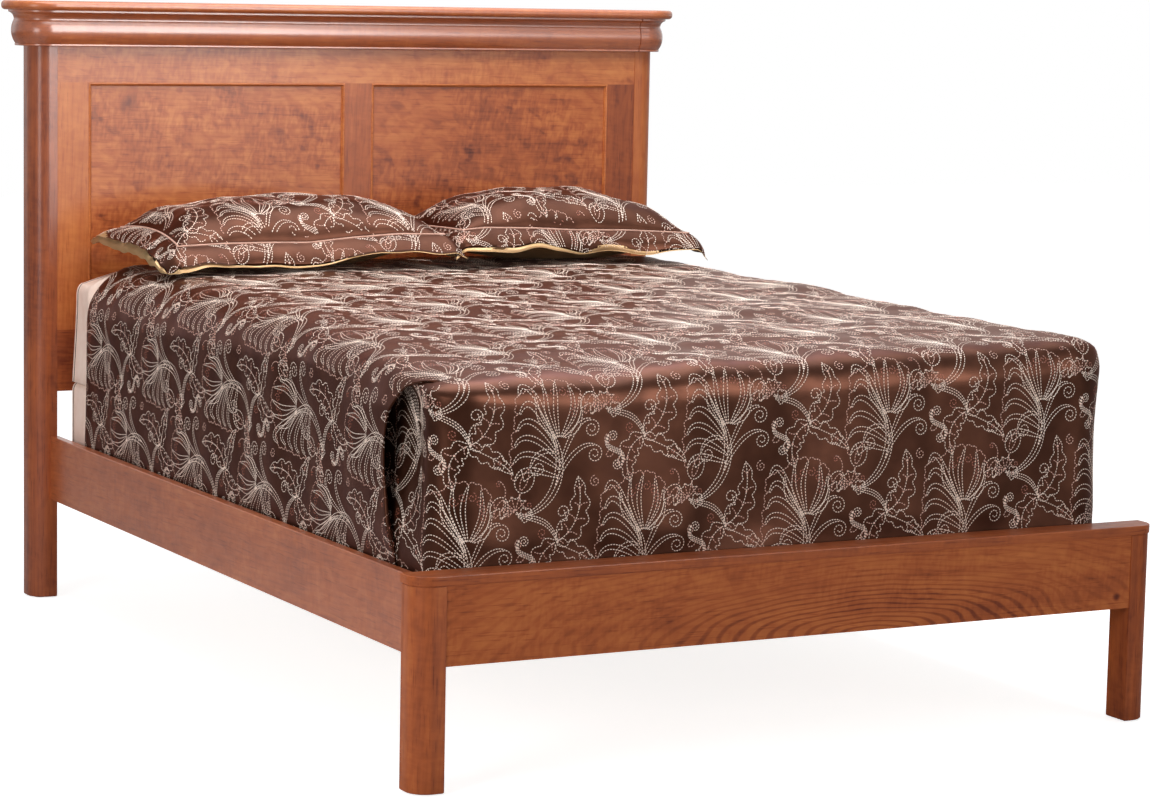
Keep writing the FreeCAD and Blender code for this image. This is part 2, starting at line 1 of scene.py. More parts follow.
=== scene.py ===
# %% [markdown]
# # A dressed panel bed
# The bedstead is stained maple under a satin lacquer. On its slats lie a box spring, a mattress, a
# cream fitted sheet, an embroidered satin coverlet and two pillows in shams. The hard parts arrive
# as exact solids and only need their finish. The cloth is built here.

import math

import bmesh
import bpy
import numpy as np
from mathutils import Matrix, Vector
from mathutils.bvhtree import BVHTree


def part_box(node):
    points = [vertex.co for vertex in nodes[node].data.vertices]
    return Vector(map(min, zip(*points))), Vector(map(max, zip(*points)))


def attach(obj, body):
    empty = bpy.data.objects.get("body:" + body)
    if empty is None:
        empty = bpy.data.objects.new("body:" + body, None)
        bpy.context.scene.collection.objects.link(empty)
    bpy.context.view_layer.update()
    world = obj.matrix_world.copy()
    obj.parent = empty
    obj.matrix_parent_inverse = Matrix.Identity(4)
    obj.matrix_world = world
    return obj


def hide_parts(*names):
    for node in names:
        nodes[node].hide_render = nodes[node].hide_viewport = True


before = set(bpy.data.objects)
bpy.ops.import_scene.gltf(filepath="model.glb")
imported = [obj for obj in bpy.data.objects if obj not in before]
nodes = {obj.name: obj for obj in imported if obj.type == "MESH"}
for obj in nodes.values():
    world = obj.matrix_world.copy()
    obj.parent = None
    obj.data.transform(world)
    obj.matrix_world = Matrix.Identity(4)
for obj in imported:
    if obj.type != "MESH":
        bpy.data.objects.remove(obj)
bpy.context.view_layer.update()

# %% [markdown]
# ## The camera
# A long lens stands well back and a little to the left, so the bed shows its foot and its left side
# with little convergence. The three directions are worked out from the turn, the tilt and the roll.

# %% Camera
TURN, TILT, ROLL = 0.4911, 0.1242, 0.0201  # in radians
STANDS_AT = (-3.4179, -6.51695, 1.4923)
FILM_WIDTH = 36.0  # in millimetres
LENS_PIXELS, FRAME_WIDTH = 3332.8, 1150  # the lens's length and the picture's width, in pixels

forward = Vector((math.sin(TURN) * math.cos(TILT), math.cos(TURN) * math.cos(TILT), -math.sin(TILT)))
level = Vector((math.cos(TURN), -math.sin(TURN), 0.0))
upright = level.cross(forward)
rightward = level * math.cos(ROLL) + upright * math.sin(ROLL)
upward = upright * math.cos(ROLL) - level * math.sin(ROLL)

camera = bpy.data.objects.new("camera", bpy.data.cameras.new("camera"))
camera.data.sensor_fit = "HORIZONTAL"
camera.data.sensor_width = FILM_WIDTH
camera.data.lens = FILM_WIDTH * LENS_PIXELS / FRAME_WIDTH
camera.data.clip_end = 60.0
camera.matrix_world = Matrix(
    [(rightward[i], upward[i], -forward[i], STANDS_AT[i]) for i in range(3)] + [(0, 0, 0, 1)]
)
bpy.context.scene.collection.objects.link(camera)
bpy.context.scene.camera = camera
print("lens %.1f mm" % camera.data.lens)

# %% [markdown]
# ## Building materials
# Every material here is a small graph of nodes. Two helpers keep the graphs short: one turns the hex
# colour that people read into the linear colour that the renderer needs, and one adds a node with
# its settings and its links.


# %% Colour and node helpers
def linear(hex_colour, alpha=1.0):
    """An sRGB hex colour as linear red, green, blue and alpha."""
    parts = [int(hex_colour[i : i + 2], 16) / 255 for i in (1, 3, 5)]
    return tuple(p / 12.92 if p <= 0.04045 else ((p + 0.055) / 1.055) ** 2.4 for p in parts) + (alpha,)


def add(tree, kind, inputs=None, stops=(), **settings):
    """Add a node with its settings.

    inputs gives each socket a value, or the output that it is linked to. stops are the places and
    hex colours of a colour ramp.
    """
    made = tree.nodes.new(kind)
    for name, value in settings.items():
        setattr(made, name, value)
    for socket, value in (inputs or {}).items():
        if isinstance(value, bpy.types.NodeSocket):
            tree.links.new(value, made.inputs[socket])
        else:
            made.inputs[socket].default_value = value
    if stops:
        elements = made.color_ramp.elements
        while len(elements) < len(stops):
            elements.new(0.5)
        for element, (place, colour) in zip(elements, stops):
            element.position = place
            element.color = linear(colour)
    return made


def new_material(name):
    """An empty material with its output node, and its tree."""
    made = bpy.data.materials.new(name)
    made.use_nodes = True
    made.node_tree.nodes.clear()
    return made, made.node_tree, add(made.node_tree, "ShaderNodeOutputMaterial")


def wear(piece, *materials):
    """Give a piece these materials, in slot order."""
    piece.data.materials.clear()
    for made in materials:
        piece.data.materials.append(made)


print("pure white is", linear("#FFFFFF"))

# %% [markdown]
# ## Stained maple
# Maple is pale and close-grained, so the maker rubs in a red-brown stain and then sprays a satin
# lacquer over it. The stain soaks in unevenly, and that is what the eye reads as maple: wide clouds,
# a soft mottle that lies across the grain, a few smoky spots, streaks and fine dark pores along the
# fibres, and arches where the saw crossed the growth rings. Each of those is one pattern here, with
# its size in millimetres. The lacquer is a thin clear coat. It is rubbed glossiest on the crown,
# which is where such a bed shows its pale band of light, and least on the footboard. Each board has
# its own place in the log and its own tone, so no two match, and some have knots. The bottom rail's
# low tone is partly its own and partly painted shade, standing in for the shade the shams cast on it.
# The most figured boards go where they are seen best, in the panels and the top rail.

# %% Stained maple
# how each way of the grain is turned to lie along X
TURNED = {"X": (0, 0, 0), "Y": (0, 0, -math.pi / 2), "Z": (0, math.pi / 2, 0)}
RING_SPACING = 0.009
STAIN = [(0.0, "#E09C56"), (0.28, "#C87640"), (0.5, "#AC5A30"), (0.74, "#7C3C25"), (1.0, "#4A2218")]


def stained_maple(name, grain, place, tone, shine, arches, taper, knots, figured):
    """Maple with its grain along one axis.

    place moves the board in the log, and tone lightens it. shine is the weight of its lacquer.
    arches says how much its growth rings show, and taper how fast the log narrows. knots are pairs
    of a place and a size. figured says how much its mottle, curl and smoky spots show.
    """
    made, tree, out = new_material("maple_stained_satin_" + name)
    point = add(tree, "ShaderNodeTexCoord").outputs["Object"]
    board = {"Vector": point, "Rotation": TURNED[grain], "Location": place}
    board = add(tree, "ShaderNodeMapping", board).outputs["Vector"]

    def between(value, low, high, to_low=0.0, to_high=1.0):
        """A smooth step, from one level of a pattern to another."""
        step = {"Value": value, "From Min": low, "From Max": high, "To Min": to_low, "To Max": to_high}
        return add(tree, "ShaderNodeMapRange", step, interpolation_type="SMOOTHSTEP").outputs["Result"]

    def figure(along, across, detail=2.0, tilt=0.0, distortion=0.0):
        """Noise whose patches have this size in millimetres along and across the board."""
        sized = {"Vector": board, "Rotation": (0, math.radians(tilt), 0)}
        sized["Scale"] = [size / 1000 for size in (along, across, across)]
        sized = add(tree, "ShaderNodeMapping", sized, vector_type="TEXTURE").outputs["Vector"]
        noise = {"Vector": sized, "Scale": 1.0, "Detail": detail, "Distortion": distortion}
        return add(tree, "ShaderNodeTexNoise", noise).outputs["Fac"]

    cloud = figure(170, 85)
    mottle = figure(40, 26, 2.0, 14, 0.5)
    curl = figure(10, 30, 1.0, 8, 0.2)
    smoke = figure(60, 34, 1.6, 12, 0.6)
    streak = figure(420, 13, 3.0)
    pores = figure(60, 3.2, 2.0)
    where = figure(260, 120, 1.0)
    curly = {0: between(where, 0.40, 0.56), 1: between(curl, 0.36, 0.66)}
    curly = add(tree, "ShaderNodeMath", curly, operation="MULTIPLY").outputs[0]

    # growth rings round the pith, each with a thin dark line
    log = add(tree, "ShaderNodeMapping", {"Vector": board, "Scale": (taper, 1.0, 1.0)}).outputs["Vector"]
    radius = add(tree, "ShaderNodeVectorMath", {0: log}, operation="LENGTH").outputs["Value"]
    swayed = {0: figure(300, 90), 1: 0.03, 2: radius}
    swayed = add(tree, "ShaderNodeMath", swayed, operation="MULTIPLY_ADD").outputs[0]
    angle = {0: swayed, 1: 2 * math.pi / RING_SPACING}
    angle = add(tree, "ShaderNodeMath", angle, operation="MULTIPLY").outputs[0]
    rings = add(tree, "ShaderNodeMath", {0: angle}, operation="SINE").outputs[0]
    rings = {0: between(rings, 0.0, 1.0), 1: between(radius, 0.07, 0.13, 1.0, 0.3)}
    rings = add(tree, "ShaderNodeMath", rings, operation="MULTIPLY").outputs[0]

    depth = 0.5 - 0.34 * (tone - 0.5)
    marks = (  # a pattern, how much it counts, and its usual level
        (cloud, 0.30, 0.5),
        (between(mottle, 0.34, 0.66), 0.13 * figured, 0.5),
        (curly, 0.12 * figured, 0.25),
        (between(smoke, 0.58, 0.70), 0.13 * figured, 0.10),
        (streak, 0.26, 0.5),
        (between(pores, 0.56, 0.74), 0.13, 0.15),
        (rings, 0.20 * arches, 0.15),
    )
    for pattern, weight, usual in marks:
        change = add(tree, "ShaderNodeMath", {0: pattern, 1: usual}, operation="SUBTRACT").outputs[0]
        depth = {0: change, 1: weight, 2: depth}
        depth = add(tree, "ShaderNodeMath", depth, operation="MULTIPLY_ADD").outputs[0]
    for at, size in knots:
        away = add(tree, "ShaderNodeVectorMath", {0: point, 1: at}, operation="DISTANCE").outputs["Value"]
        away = {0: mottle, 1: size, 2: away}
        away = add(tree, "ShaderNodeMath", away, operation="MULTIPLY_ADD").outputs[0]
        dark = between(away, 0.55 * size, 1.7 * size, 0.45, 0.0)
        depth = add(tree, "ShaderNodeMath", {0: depth, 1: dark}, operation="ADD").outputs[0]
    stain = add(tree, "ShaderNodeValToRGB", {"Fac": depth}, STAIN).outputs["Color"]
    relief = {"Height": streak, "Strength": 0.08, "Distance": 0.0006}
    relief = add(tree, "ShaderNodeBump", relief).outputs["Normal"]
    wood = {
        "Base Color": stain,
        "Roughness": between(mottle, 0.3, 0.7, 0.38, 0.46),
        "Normal": relief,
        "IOR": 1.5,
        "Specular IOR Level": 0.25 * shine,
        "Coat Weight": shine,
        "Coat Roughness": 0.22,
        "Coat IOR": 1.5,
    }
    wood = add(tree, "ShaderNodeBsdfPrincipled", wood)
    tree.links.new(wood.outputs["BSDF"], out.inputs["Surface"])
    return made


print("stain from", STAIN[0][1], "to", STAIN[-1][1])

# %% The boards
# the way of the grain, the tone from dark to light, and how glossy the lacquer is rubbed
BOARDS = {
    "headboard_post_left": ("Z", 0.06, 0.5),
    "headboard_post_right": ("Z", 0.60, 0.3),
    "headboard_top_rail": ("X", 0.80, 0.3),
    # the bottom rail's low tone is partly its own, partly painted shade from the shams above it
    "headboard_bottom_rail": ("X", 0.02, 0.25),
    "headboard_stile_left": ("Z", 0.90, 0.25),
    "headboard_stile_right": ("Z", 0.12, 0.25),
    "headboard_center_stile": ("Z", 0.28, 0.25),
    "headboard_panel_left": ("X", 0.60, 0.25),
    "headboard_panel_right": ("X", 0.42, 0.25),
    "panel_molding_left": ("X", 0.85, 0.25),
    "panel_molding_right": ("X", 0.85, 0.25),
    "crown_molding": ("X", 0.40, 1.0),
    "crown_corner_left": ("X", 0.35, 1.0),
    "crown_corner_right": ("X", 0.30, 1.0),
    "headboard_cap": ("X", 0.60, 0.6),
    "footboard_post_left": ("Z", 0.35, 0.25),
    "footboard_post_right": ("Z", 0.15, 0.15),
    "footboard_rail": ("X", 0.50, 0.15),
    "footboard_cap": ("X", 0.30, 0.2),
    "side_rail_left": ("Y", 0.38, 0.6),
    "side_rail_right": ("Y", 0.38, 0.6),
}
# a board with tall arches: its place in the log, how much they show, and the log's taper
CATHEDRAL = {"footboard_rail": ((-0.15, 1.1, -0.235), 1.0, 0.22)}
USUAL_ARCHES, USUAL_TAPER = 0.5, 0.1
FIGURED = {
    "headboard_panel_left": 1.0,
    "headboard_panel_right": 1.0,
    "headboard_top_rail": 0.8,
    "footboard_rail": 0.45,
}
LITTLE_FIGURED = 0.35
KNOTS = {
    "headboard_top_rail": [((0.515, 1.0, 1.222), 0.012)],
    "headboard_stile_right": [((0.730, 1.0, 1.196), 0.014), ((0.735, 1.0, 1.06), 0.006)],
    "headboard_panel_left": [((-0.600, 1.03, 1.188), 0.036)],
    "headboard_panel_right": [((0.165, 1.03, 1.108), 0.016)],
    "footboard_rail": [((0.748, -1.1, 0.265), 0.010)],
}
for number, (node, (grain, tone, shine)) in enumerate(BOARDS.items()):
    # each board lies 3.1 m along the log from the one before
    place = (3.1 * number, 0.07 + 0.011 * (number % 5), 0.25 + 0.37 * number)
    place, arches, taper = CATHEDRAL.get(node, (place, USUAL_ARCHES, USUAL_TAPER))
    knots, figured = KNOTS.get(node, ()), FIGURED.get(node, LITTLE_FIGURED)
    wear(nodes[node], stained_maple(node, grain, place, tone, shine, arches, taper, knots, figured))
print("maple boards:", len(BOARDS), "of them with knots:", len(KNOTS))

# %% [markdown]
# ## Parts that stay out of sight
# The slats, cleats and centre legs are left as sawn and planed maple, without stain: pale, with faint
# streaks along the grain. The hooks, plates and screws are zinc-plated steel, which is a bluish
# grey with a blurred shine, because plating isn't polished. The glides are black moulded plastic with
# a fine matt grain.

# %% Plain maple
def plain_maple(name, grain):
    """Planed maple without a finish: pale, nearly without shine, with streaks of 300 by 12 mm."""
    made, tree, out = new_material("maple_planed_bare_" + name)
    point = add(tree, "ShaderNodeTexCoord").outputs["Object"]
    sized = {"Vector": point, "Rotation": TURNED[grain]}
    sized = add(tree, "ShaderNodeMapping", sized).outputs["Vector"]
    sized = {"Vector": sized, "Scale": (0.300, 0.012, 0.012)}
    sized = add(tree, "ShaderNodeMapping", sized, vector_type="TEXTURE").outputs["Vector"]
    streak = add(tree, "ShaderNodeTexNoise", {"Vector": sized, "Scale": 1.0, "Detail": 4.0}).outputs["Fac"]
    shades = [(0.3, "#E2C79E"), (0.7, "#CDAA7C")]
    colour = add(tree, "ShaderNodeValToRGB", {"Fac": streak}, shades).outputs["Color"]
    relief = {"Height": streak, "Strength": 0.1, "Distance": 0.0005}
    relief = add(tree, "ShaderNodeBump", relief).outputs["Normal"]
    wood = {"Base Color": colour, "Roughness": 0.62, "Normal": relief}
    wood = add(tree, "ShaderNodeBsdfPrincipled", wood)
    tree.links.new(wood.outputs["BSDF"], out.inputs["Surface"])
    return made


bare_across = plain_maple("across", "X")
bare_lengthwise = plain_maple("lengthwise", "Y")
bare_upright = plain_maple("upright", "Z")
print("plain maple:", bare_across.name, bare_lengthwise.name, bare_upright.name)

# %% Zinc-plated steel and moulded plastic
def hard_finish(name, colour, rough, metal):
    """A hard part with blurred patches in its shine, 12 mm wide."""
    made, tree, out = new_material(name)
    point = add(tree, "ShaderNodeTexCoord").outputs["Object"]
    patch = add(tree, "ShaderNodeTexNoise", {"Vector": point, "Scale": 80.0, "Detail": 3.0}).outputs["Fac"]
    spread = {"Value": patch, "To Min": rough - 0.06, "To Max": rough + 0.08}
    spread = add(tree, "ShaderNodeMapRange", spread).outputs["Result"]
    hard = {"Base Color": linear(colour), "Metallic": metal, "Roughness": spread}
    hard = add(tree, "ShaderNodeBsdfPrincipled", hard)
    tree.links.new(hard.outputs["BSDF"], out.inputs["Surface"])
    return made


zinc = hard_finish("steel_zinc_plated", "#B4BAC0", 0.36, 1.0)
plastic = hard_finish("polyethylene_moulded_black", "#1E1D1C", 0.55, 0.0)
print("hard finishes:", zinc.name, plastic.name)

# %% Dress the hidden parts
# how the names of the nodes start, and what those are made of; the first that fits is taken
HIDDEN = (
    (("slat_screws", "hook_screws", "cleat_screws", "cap_screws"), zinc),
    (("rail_hooks", "post_plates"), zinc),
    (("slat_", "headboard_cap_cleat", "footboard_cap_cleat"), bare_across),
    (("rail_cleat",), bare_lengthwise),
    (("center_leg",), bare_upright),
    (("foot_glides",), plastic),
)
for name, node in nodes.items():
    for beginnings, made in HIDDEN:
        if name.startswith(beginnings):
            wear(node, made)
            print(name, "is", made.name)
            break

# %% [markdown]
# ## The coverlet's shape
# The coverlet is one soft sheet. It lies over the mattress and drops inside the rails. At each foot
# corner the spare cloth makes a pleat: the side panel turns under, runs back, and turns again into
# the part that wraps round from the foot. A simulation would fold it somewhere else each time, so
# the cloth is laid by rule: a flat grid for the top, then rings of points that go down over the
# rounded edge. Each ring walks along the side, through the pleat, round the corner and across the
# foot.

# %% Coverlet sizes
HALF_WIDTH = 0.7675  # middle of the bed to the hanging cloth
FOOT_FACE = -1.0325  # the cloth that hangs at the foot
HEAD_EDGE = 0.8825  # where the top ends
HEM = 0.342  # height of the lower edge
FOOT_ROUND = 0.072  # how far the foot's rounded edge reaches in
ROUND_RINGS, DROP_RINGS = 10, 34  # rings over the rounded edge, and below it
SIDE_COLUMNS, FOOT_COLUMNS = 150, 117  # columns along a side, and across the foot


def through(places, values):
    """A smoothed curve through the given values."""
    fine = np.linspace(places[0], places[-1], 500)
    rough = np.interp(fine, places, values)
    kernel = np.hanning(31) / np.hanning(31).sum()
    smooth = np.convolve(np.pad(rough, 15, mode="edge"), kernel, "valid")
    return lambda at: np.interp(at, fine, smooth)


def ease(share):
    """0 below 0, 1 above 1, and a smooth step between."""
    share = np.clip(share, 0, 1)
    return share * share * (3 - 2 * share)


# heights and edge sizes by the distance from the foot face
crest_left = through([0, 0.22, 0.6, 0.97, 1.91], [0.746, 0.774, 0.796, 0.808, 0.815])
crest_middle = through([0, 0.22, 0.6, 0.97, 1.4, 1.91], [0.770, 0.790, 0.800, 0.811, 0.817, 0.816])
crest_right = through([0, 0.22, 0.6, 0.97, 1.4, 1.91], [0.796, 0.797, 0.799, 0.809, 0.815, 0.814])
round_wide = through([0, 0.3, 0.8, 1.91], [0.080, 0.086, 0.105, 0.138])
deep_left = through([0, 0.2, 0.5, 0.9, 1.91], [0.024, 0.034, 0.062, 0.092, 0.122])
deep_right = through([0, 0.25, 0.9, 1.91], [0.058, 0.062, 0.080, 0.105])
deep_foot = through([-0.77, -0.62, -0.45, 0.77], [0.024, 0.050, 0.066, 0.070])


def crest(x, y):
    """Height of the coverlet's top before its edges turn down."""
    along, side = y - FOOT_FACE, x / HALF_WIDTH
    edge = np.where(side < 0, crest_left(along), crest_right(along))
    return crest_middle(along) + (edge - crest_middle(along)) * np.abs(side) ** 1.3


print("crest at the foot: %.3f to %.3f m" % (crest(-0.7, -1.0), crest(0.7, -1.0)))

# %% Rings over the edge
def ring_shares(round_rings, drop_rings):
    """For each ring, from 0 to 1: how far out, how far over the rounding, and how far down."""
    angles = np.linspace(0, math.pi / 2, round_rings + 1)
    out = np.concatenate([np.sin(angles), np.ones(drop_rings)])[:, None]
    dip = np.concatenate([1 - np.cos(angles), np.ones(drop_rings)])[:, None]
    drop = np.concatenate([np.zeros(round_rings + 1), np.linspace(0, 1, drop_rings + 1)[1:]])[:, None]
    return out, dip, drop


OUT, DIP, DROP = ring_shares(ROUND_RINGS, DROP_RINGS)
print("rings:", len(OUT))


def ring_height(high, deep):
    """Heights of all rings at a place whose crest is high and whose rounding is deep."""
    return (high - deep * DIP) * (1 - DROP) + HEM * DROP


def cloth_down(wide, deep, high):
    """Length of cloth from the crest to each ring."""
    wide, deep = wide + 0 * OUT, deep + 0 * OUT
    step = np.hypot(wide[1:] * np.diff(OUT, axis=0), deep[1:] * np.diff(DIP, axis=0))
    arc = np.concatenate([np.zeros((1, step.shape[1])), np.cumsum(step, axis=0)])
    return arc + (high - deep - HEM) * DROP


# %% Pleat
PLEAT_BACK = 0.075  # how far the layer under the pleat runs back
FOLD_RADIUS = 0.0030  # of the fold at the pleat's edge

# by the distance below the place where the pleat starts: where its edge is, how far the side
# swells out, and how far the foot's part is pressed in
pleat_edge = through(
    [-0.1, 0, 0.004, 0.023, 0.047, 0.087, 0.136, 0.196, 0.283, 0.348, 0.42],
    [-0.9605, -0.9605, -0.952, -0.888, -0.869, -0.838, -0.822, -0.823, -0.840, -0.852, -0.855],
)
puff = through([0, 0.03, 0.07, 0.29, 0.345, 0.42], [0.0, 0.008, 0.020, 0.016, 0.0055, 0.0055])
hollow = through([0, 0.02, 0.05, 0.13, 0.22, 0.30, 0.42], [0.0, 0.010, 0.026, 0.026, 0.010, 0.0, 0.0])


def side_half(sign):
    """One hanging side with its pleat: its points, the cloth down to them, and its own columns."""
    corner_y = FOOT_FACE + FOOT_ROUND
    deep_at = deep_left if sign < 0 else deep_right
    wide_c, deep_c = round_wide(FOOT_ROUND), deep_at(FOOT_ROUND)
    high_c = crest(sign * (HALF_WIDTH - wide_c), corner_y)
    below = high_c - (0.10 if sign < 0 else 0.75) * deep_c - ring_height(high_c, deep_c)
    edge_y = corner_y + (pleat_edge(below) - corner_y) * ease(below / 0.008)
    open_up = ease(below / 0.030)
    back = PLEAT_BACK * open_up
    tight = FOLD_RADIUS * open_up

    def face(y):
        """How far out the side hangs, in front of the pleat."""
        wide = round_wide(y - FOOT_FACE)
        swell = puff(below) * ease(1 - (y - edge_y) / 0.30)
        return HALF_WIDTH - wide * (1 - OUT) + swell * open_up

    # along the side, where the columns lie closer together near the pleat
    columns = []
    steps = 1 - (1 - np.linspace(0, 1, SIDE_COLUMNS)) ** 1.15
    y = HEAD_EDGE + (edge_y - HEAD_EDGE) * steps[None, :]
    columns.append((face(y), y))

    # round the pleat's edge, and back towards the head
    bend = np.linspace(0, math.pi, 10)[None, 1:]
    at = face(edge_y)
    columns.append((at - tight + tight * np.cos(bend), edge_y - tight * np.sin(bend)))
    run = np.linspace(0, 1, 9)[None, 1:]
    columns.append((at - 2 * tight + 0 * run, edge_y + back * run))
    side_count = sum(c[0].shape[1] for c in columns)

    def wrap_face(y):
        """How far out the part hangs that wraps round from the foot."""
        wide = round_wide(y - FOOT_FACE)
        inward = 0.0012 + hollow(below) * ease((y - corner_y) / 0.085)
        return HALF_WIDTH - wide * (1 - OUT) - inward * open_up

    # round the hidden fold, and on to the corner
    start = edge_y + back
    turn = (at - 2 * tight - wrap_face(start)) / 2
    columns.append((at - 2 * tight - turn + turn * np.cos(bend), start + turn * np.sin(bend)))
    run = np.linspace(0, 1, 30)[None, 1:]
    y = start + (corner_y - start) * run
    columns.append((wrap_face(y), y))
    x = np.concatenate([c[0] for c in columns], axis=1)
    y = np.concatenate([np.broadcast_to(c[1], c[0].shape) for c in columns], axis=1)

    high = crest(sign * (HALF_WIDTH - round_wide(y - FOOT_FACE)), y)
    deep = deep_at(y - FOOT_FACE)
    z = ring_height(high, deep)
    down = cloth_down(round_wide(y - FOOT_FACE), deep, high)
    return np.stack([sign * x, y, z], -1), down, side_count


left, left_down, BREAK = side_half(-1)  # BREAK: the hidden column where side and foot meet
right, right_down, _ = side_half(1)
print("columns on one side:", left.shape[1], "of which the side's own:", BREAK)

# %% Corners and foot
corner_angle = np.linspace(0, 1, 12)[None, 1:-1] * math.pi / 2


def corner(sign):
    """The quarter turn between a side and the foot."""
    deep_at = deep_left if sign < 0 else deep_right
    wide = round_wide(FOOT_ROUND)
    centre = HALF_WIDTH - wide
    x = centre + wide * OUT * np.cos(corner_angle)
    y = FOOT_FACE + FOOT_ROUND - FOOT_ROUND * OUT * np.sin(corner_angle)
    high = crest(sign * centre, FOOT_FACE + FOOT_ROUND) + 0 * corner_angle
    side_deep, foot_deep = deep_at(FOOT_ROUND), deep_foot(sign * centre)
    deep = side_deep + (foot_deep - side_deep) * np.sin(corner_angle) ** 2
    points = np.stack([sign * x, y, ring_height(high, deep)], -1)
    return points, cloth_down(FOOT_ROUND + 0 * deep, deep, high)


corner_left, corner_left_down = corner(-1)
corner_right, corner_right_down = corner(1)
foot_x = np.linspace(-1, 1, FOOT_COLUMNS)[None, :] * (HALF_WIDTH - round_wide(FOOT_ROUND))
foot_y = FOOT_FACE + FOOT_ROUND * (1 - OUT) + 0 * foot_x
foot_high = crest(foot_x, FOOT_FACE + FOOT_ROUND)
foot = np.stack([foot_x + 0 * OUT, foot_y, ring_height(foot_high, deep_foot(foot_x))], -1)
foot_down = cloth_down(FOOT_ROUND + 0 * foot_x, deep_foot(foot_x), foot_high)

top_y = left[0, :SIDE_COLUMNS, 1][::-1]
side_share, along = np.meshgrid(np.linspace(-1, 1, FOOT_COLUMNS), top_y, indexing="ij")
spread = side_share * (HALF_WIDTH - round_wide(along - FOOT_FACE))
top = np.stack([spread, along, crest(spread, along)], -1)
print("top points:", top.shape)

# %% [markdown]
# ## One mesh and its flat copy
# Each point of the cloth also knows its place on the cloth while it lay flat: u across the bed and
# v towards the head. With that, anything drawn flat, such as the embroidery, can be carried onto the
# draped cloth: find the flat triangle it lies in, and go to the same spot of the draped triangle.

# %% Flat places
FLAT_HEAD = HEAD_EDGE - (FOOT_FACE + FOOT_ROUND)


def along_ring(points):
    """Length along each ring from its first column."""
    step = np.linalg.norm(np.diff(points[..., :2], axis=1), axis=-1)
    return np.concatenate([np.zeros((points.shape[0], 1)), np.cumsum(step, axis=1)], axis=1)


def flat_side(points, down, sign):
    """Flat places of a hanging side."""
    u = sign * (HALF_WIDTH - round_wide(points[..., 1] - FOOT_FACE) + down)
    return np.stack([u, FLAT_HEAD - along_ring(points)], -1)


def round_the_foot(first, first_turn, middle, last_turn, last):
    """One grid from the left pleat, round the foot, to the right pleat."""
    parts = [first[:, BREAK:], first_turn, middle, last_turn[:, ::-1], last[:, BREAK:][:, ::-1]]
    return np.concatenate(parts, axis=1)


front = round_the_foot(left, corner_left, foot, corner_right, right)
front_down = round_the_foot(left_down, corner_left_down, foot_down, corner_right_down, right_down)
walked = along_ring(front)
middle = front.shape[1] // 2
flat_front = np.stack([walked - walked[:, middle : middle + 1], -front_down], -1)
flat_top = np.stack([spread, along - (FOOT_FACE + FOOT_ROUND)], -1)
patches = [
    (top, flat_top),
    (left[:, :BREAK], flat_side(left[:, :BREAK], left_down[:, :BREAK], -1)),
    (right[:, :BREAK][:, ::-1], flat_side(right[:, :BREAK], right_down[:, :BREAK], 1)[:, ::-1]),
    (front, flat_front),
]
print("cloth drops %.3f m at the foot" % front_down.max())


# %% Weld the grids
def grid_faces(rows, columns, start=0):
    """Faces of a grid of points, each with its corners in order."""
    index = np.arange(rows * columns).reshape(rows, columns) + start
    return np.stack([index[:-1, :-1], index[1:, :-1], index[1:, 1:], index[:-1, 1:]], -1).reshape(-1, 4)


def join_grids(grids):
    """Grids of points as one list of points and one of faces."""
    points, faces, count = [], [], 0
    for grid in grids:
        faces.append(grid_faces(grid.shape[0], grid.shape[1], count))
        points.append(grid.reshape(-1, 3))
        count += len(points[-1])
    return np.concatenate(points), np.concatenate(faces)


def weld(points, faces, near=0.0002):
    """Join points that coincide, and drop the faces that this closes up."""
    loose = bmesh.new()
    corners = [loose.verts.new(point) for point in points]
    loose.verts.index_update()
    joined = np.arange(len(points))
    for corner, target in bmesh.ops.find_doubles(loose, verts=corners, dist=near)["targetmap"].items():
        joined[corner.index] = target.index
    loose.free()
    first, joined = np.unique(joined, return_inverse=True)
    kept = []
    for face in joined[faces].tolist():
        face = [c for i, c in enumerate(face) if c != face[i - 1]]
        if len(set(face)) == len(face) >= 3:
            kept.append(face)
    return points[first], kept, joined


def new_piece(name, points, faces, smooth=True):
    """A mesh object from points and faces."""
    mesh = bpy.data.meshes.new(name)
    mesh.from_pydata([tuple(p) for p in points], [], faces)
    mesh.update()
    if smooth:
        mesh.shade_smooth()
    piece = bpy.data.objects.new(name, mesh)
    bpy.context.scene.collection.objects.link(piece)
    return piece


bridges = [left[:, BREAK - 1 : BREAK + 1], right[:, BREAK - 1 : BREAK + 1][:, ::-1]]
grids = [patch for patch, _ in patches] + bridges
cover_points, cover_faces, joined = weld(*join_grids(grids))
coverlet = new_piece("coverlet_cloth", cover_points, cover_faces)
print("coverlet faces:", len(cover_faces))

# %% Smooth random waves
WAVE_COUNT, ADDED_WAVES = 90, 12
USUAL_PEAK = 4.2  # the added waves mostly stay below this

rng = np.random.default_rng(7)
ways = rng.normal(size=(WAVE_COUNT, 3))
WAVES = ways / np.linalg.norm(ways, axis=1)[:, None] * rng.uniform(0.7, 1.3, (WAVE_COUNT, 1))
PHASES = rng.uniform(0, 2 * math.pi, WAVE_COUNT)


def ripple(points, length, turn):
    """Smooth random heights, mostly from -1 to 1, with waves of about this length in metres."""
    total = np.zeros(len(points))
    chosen = slice(turn, turn + ADDED_WAVES)
    for wave, phase in zip(WAVES[chosen], PHASES[chosen]):
        total = total + np.sin(points @ wave * 2 * math.pi / length + phase)
    return total / USUAL_PEAK


print("a ripple over the coverlet reaches %.2f" % ripple(cover_points, 0.34, 0).max())


# %% Soften the edges of the top
def normals_of(piece):
    """The direction that each point of a mesh faces."""
    values = np.empty(len(piece.data.vertices) * 3)
    piece.data.vertex_normals.foreach_get("vector", values)
    return values.reshape(-1, 3)


def move(piece, points):
    """Give a mesh new places for its points."""
    piece.data.vertices.foreach_set("co", points.reshape(-1))
    piece.data.update()


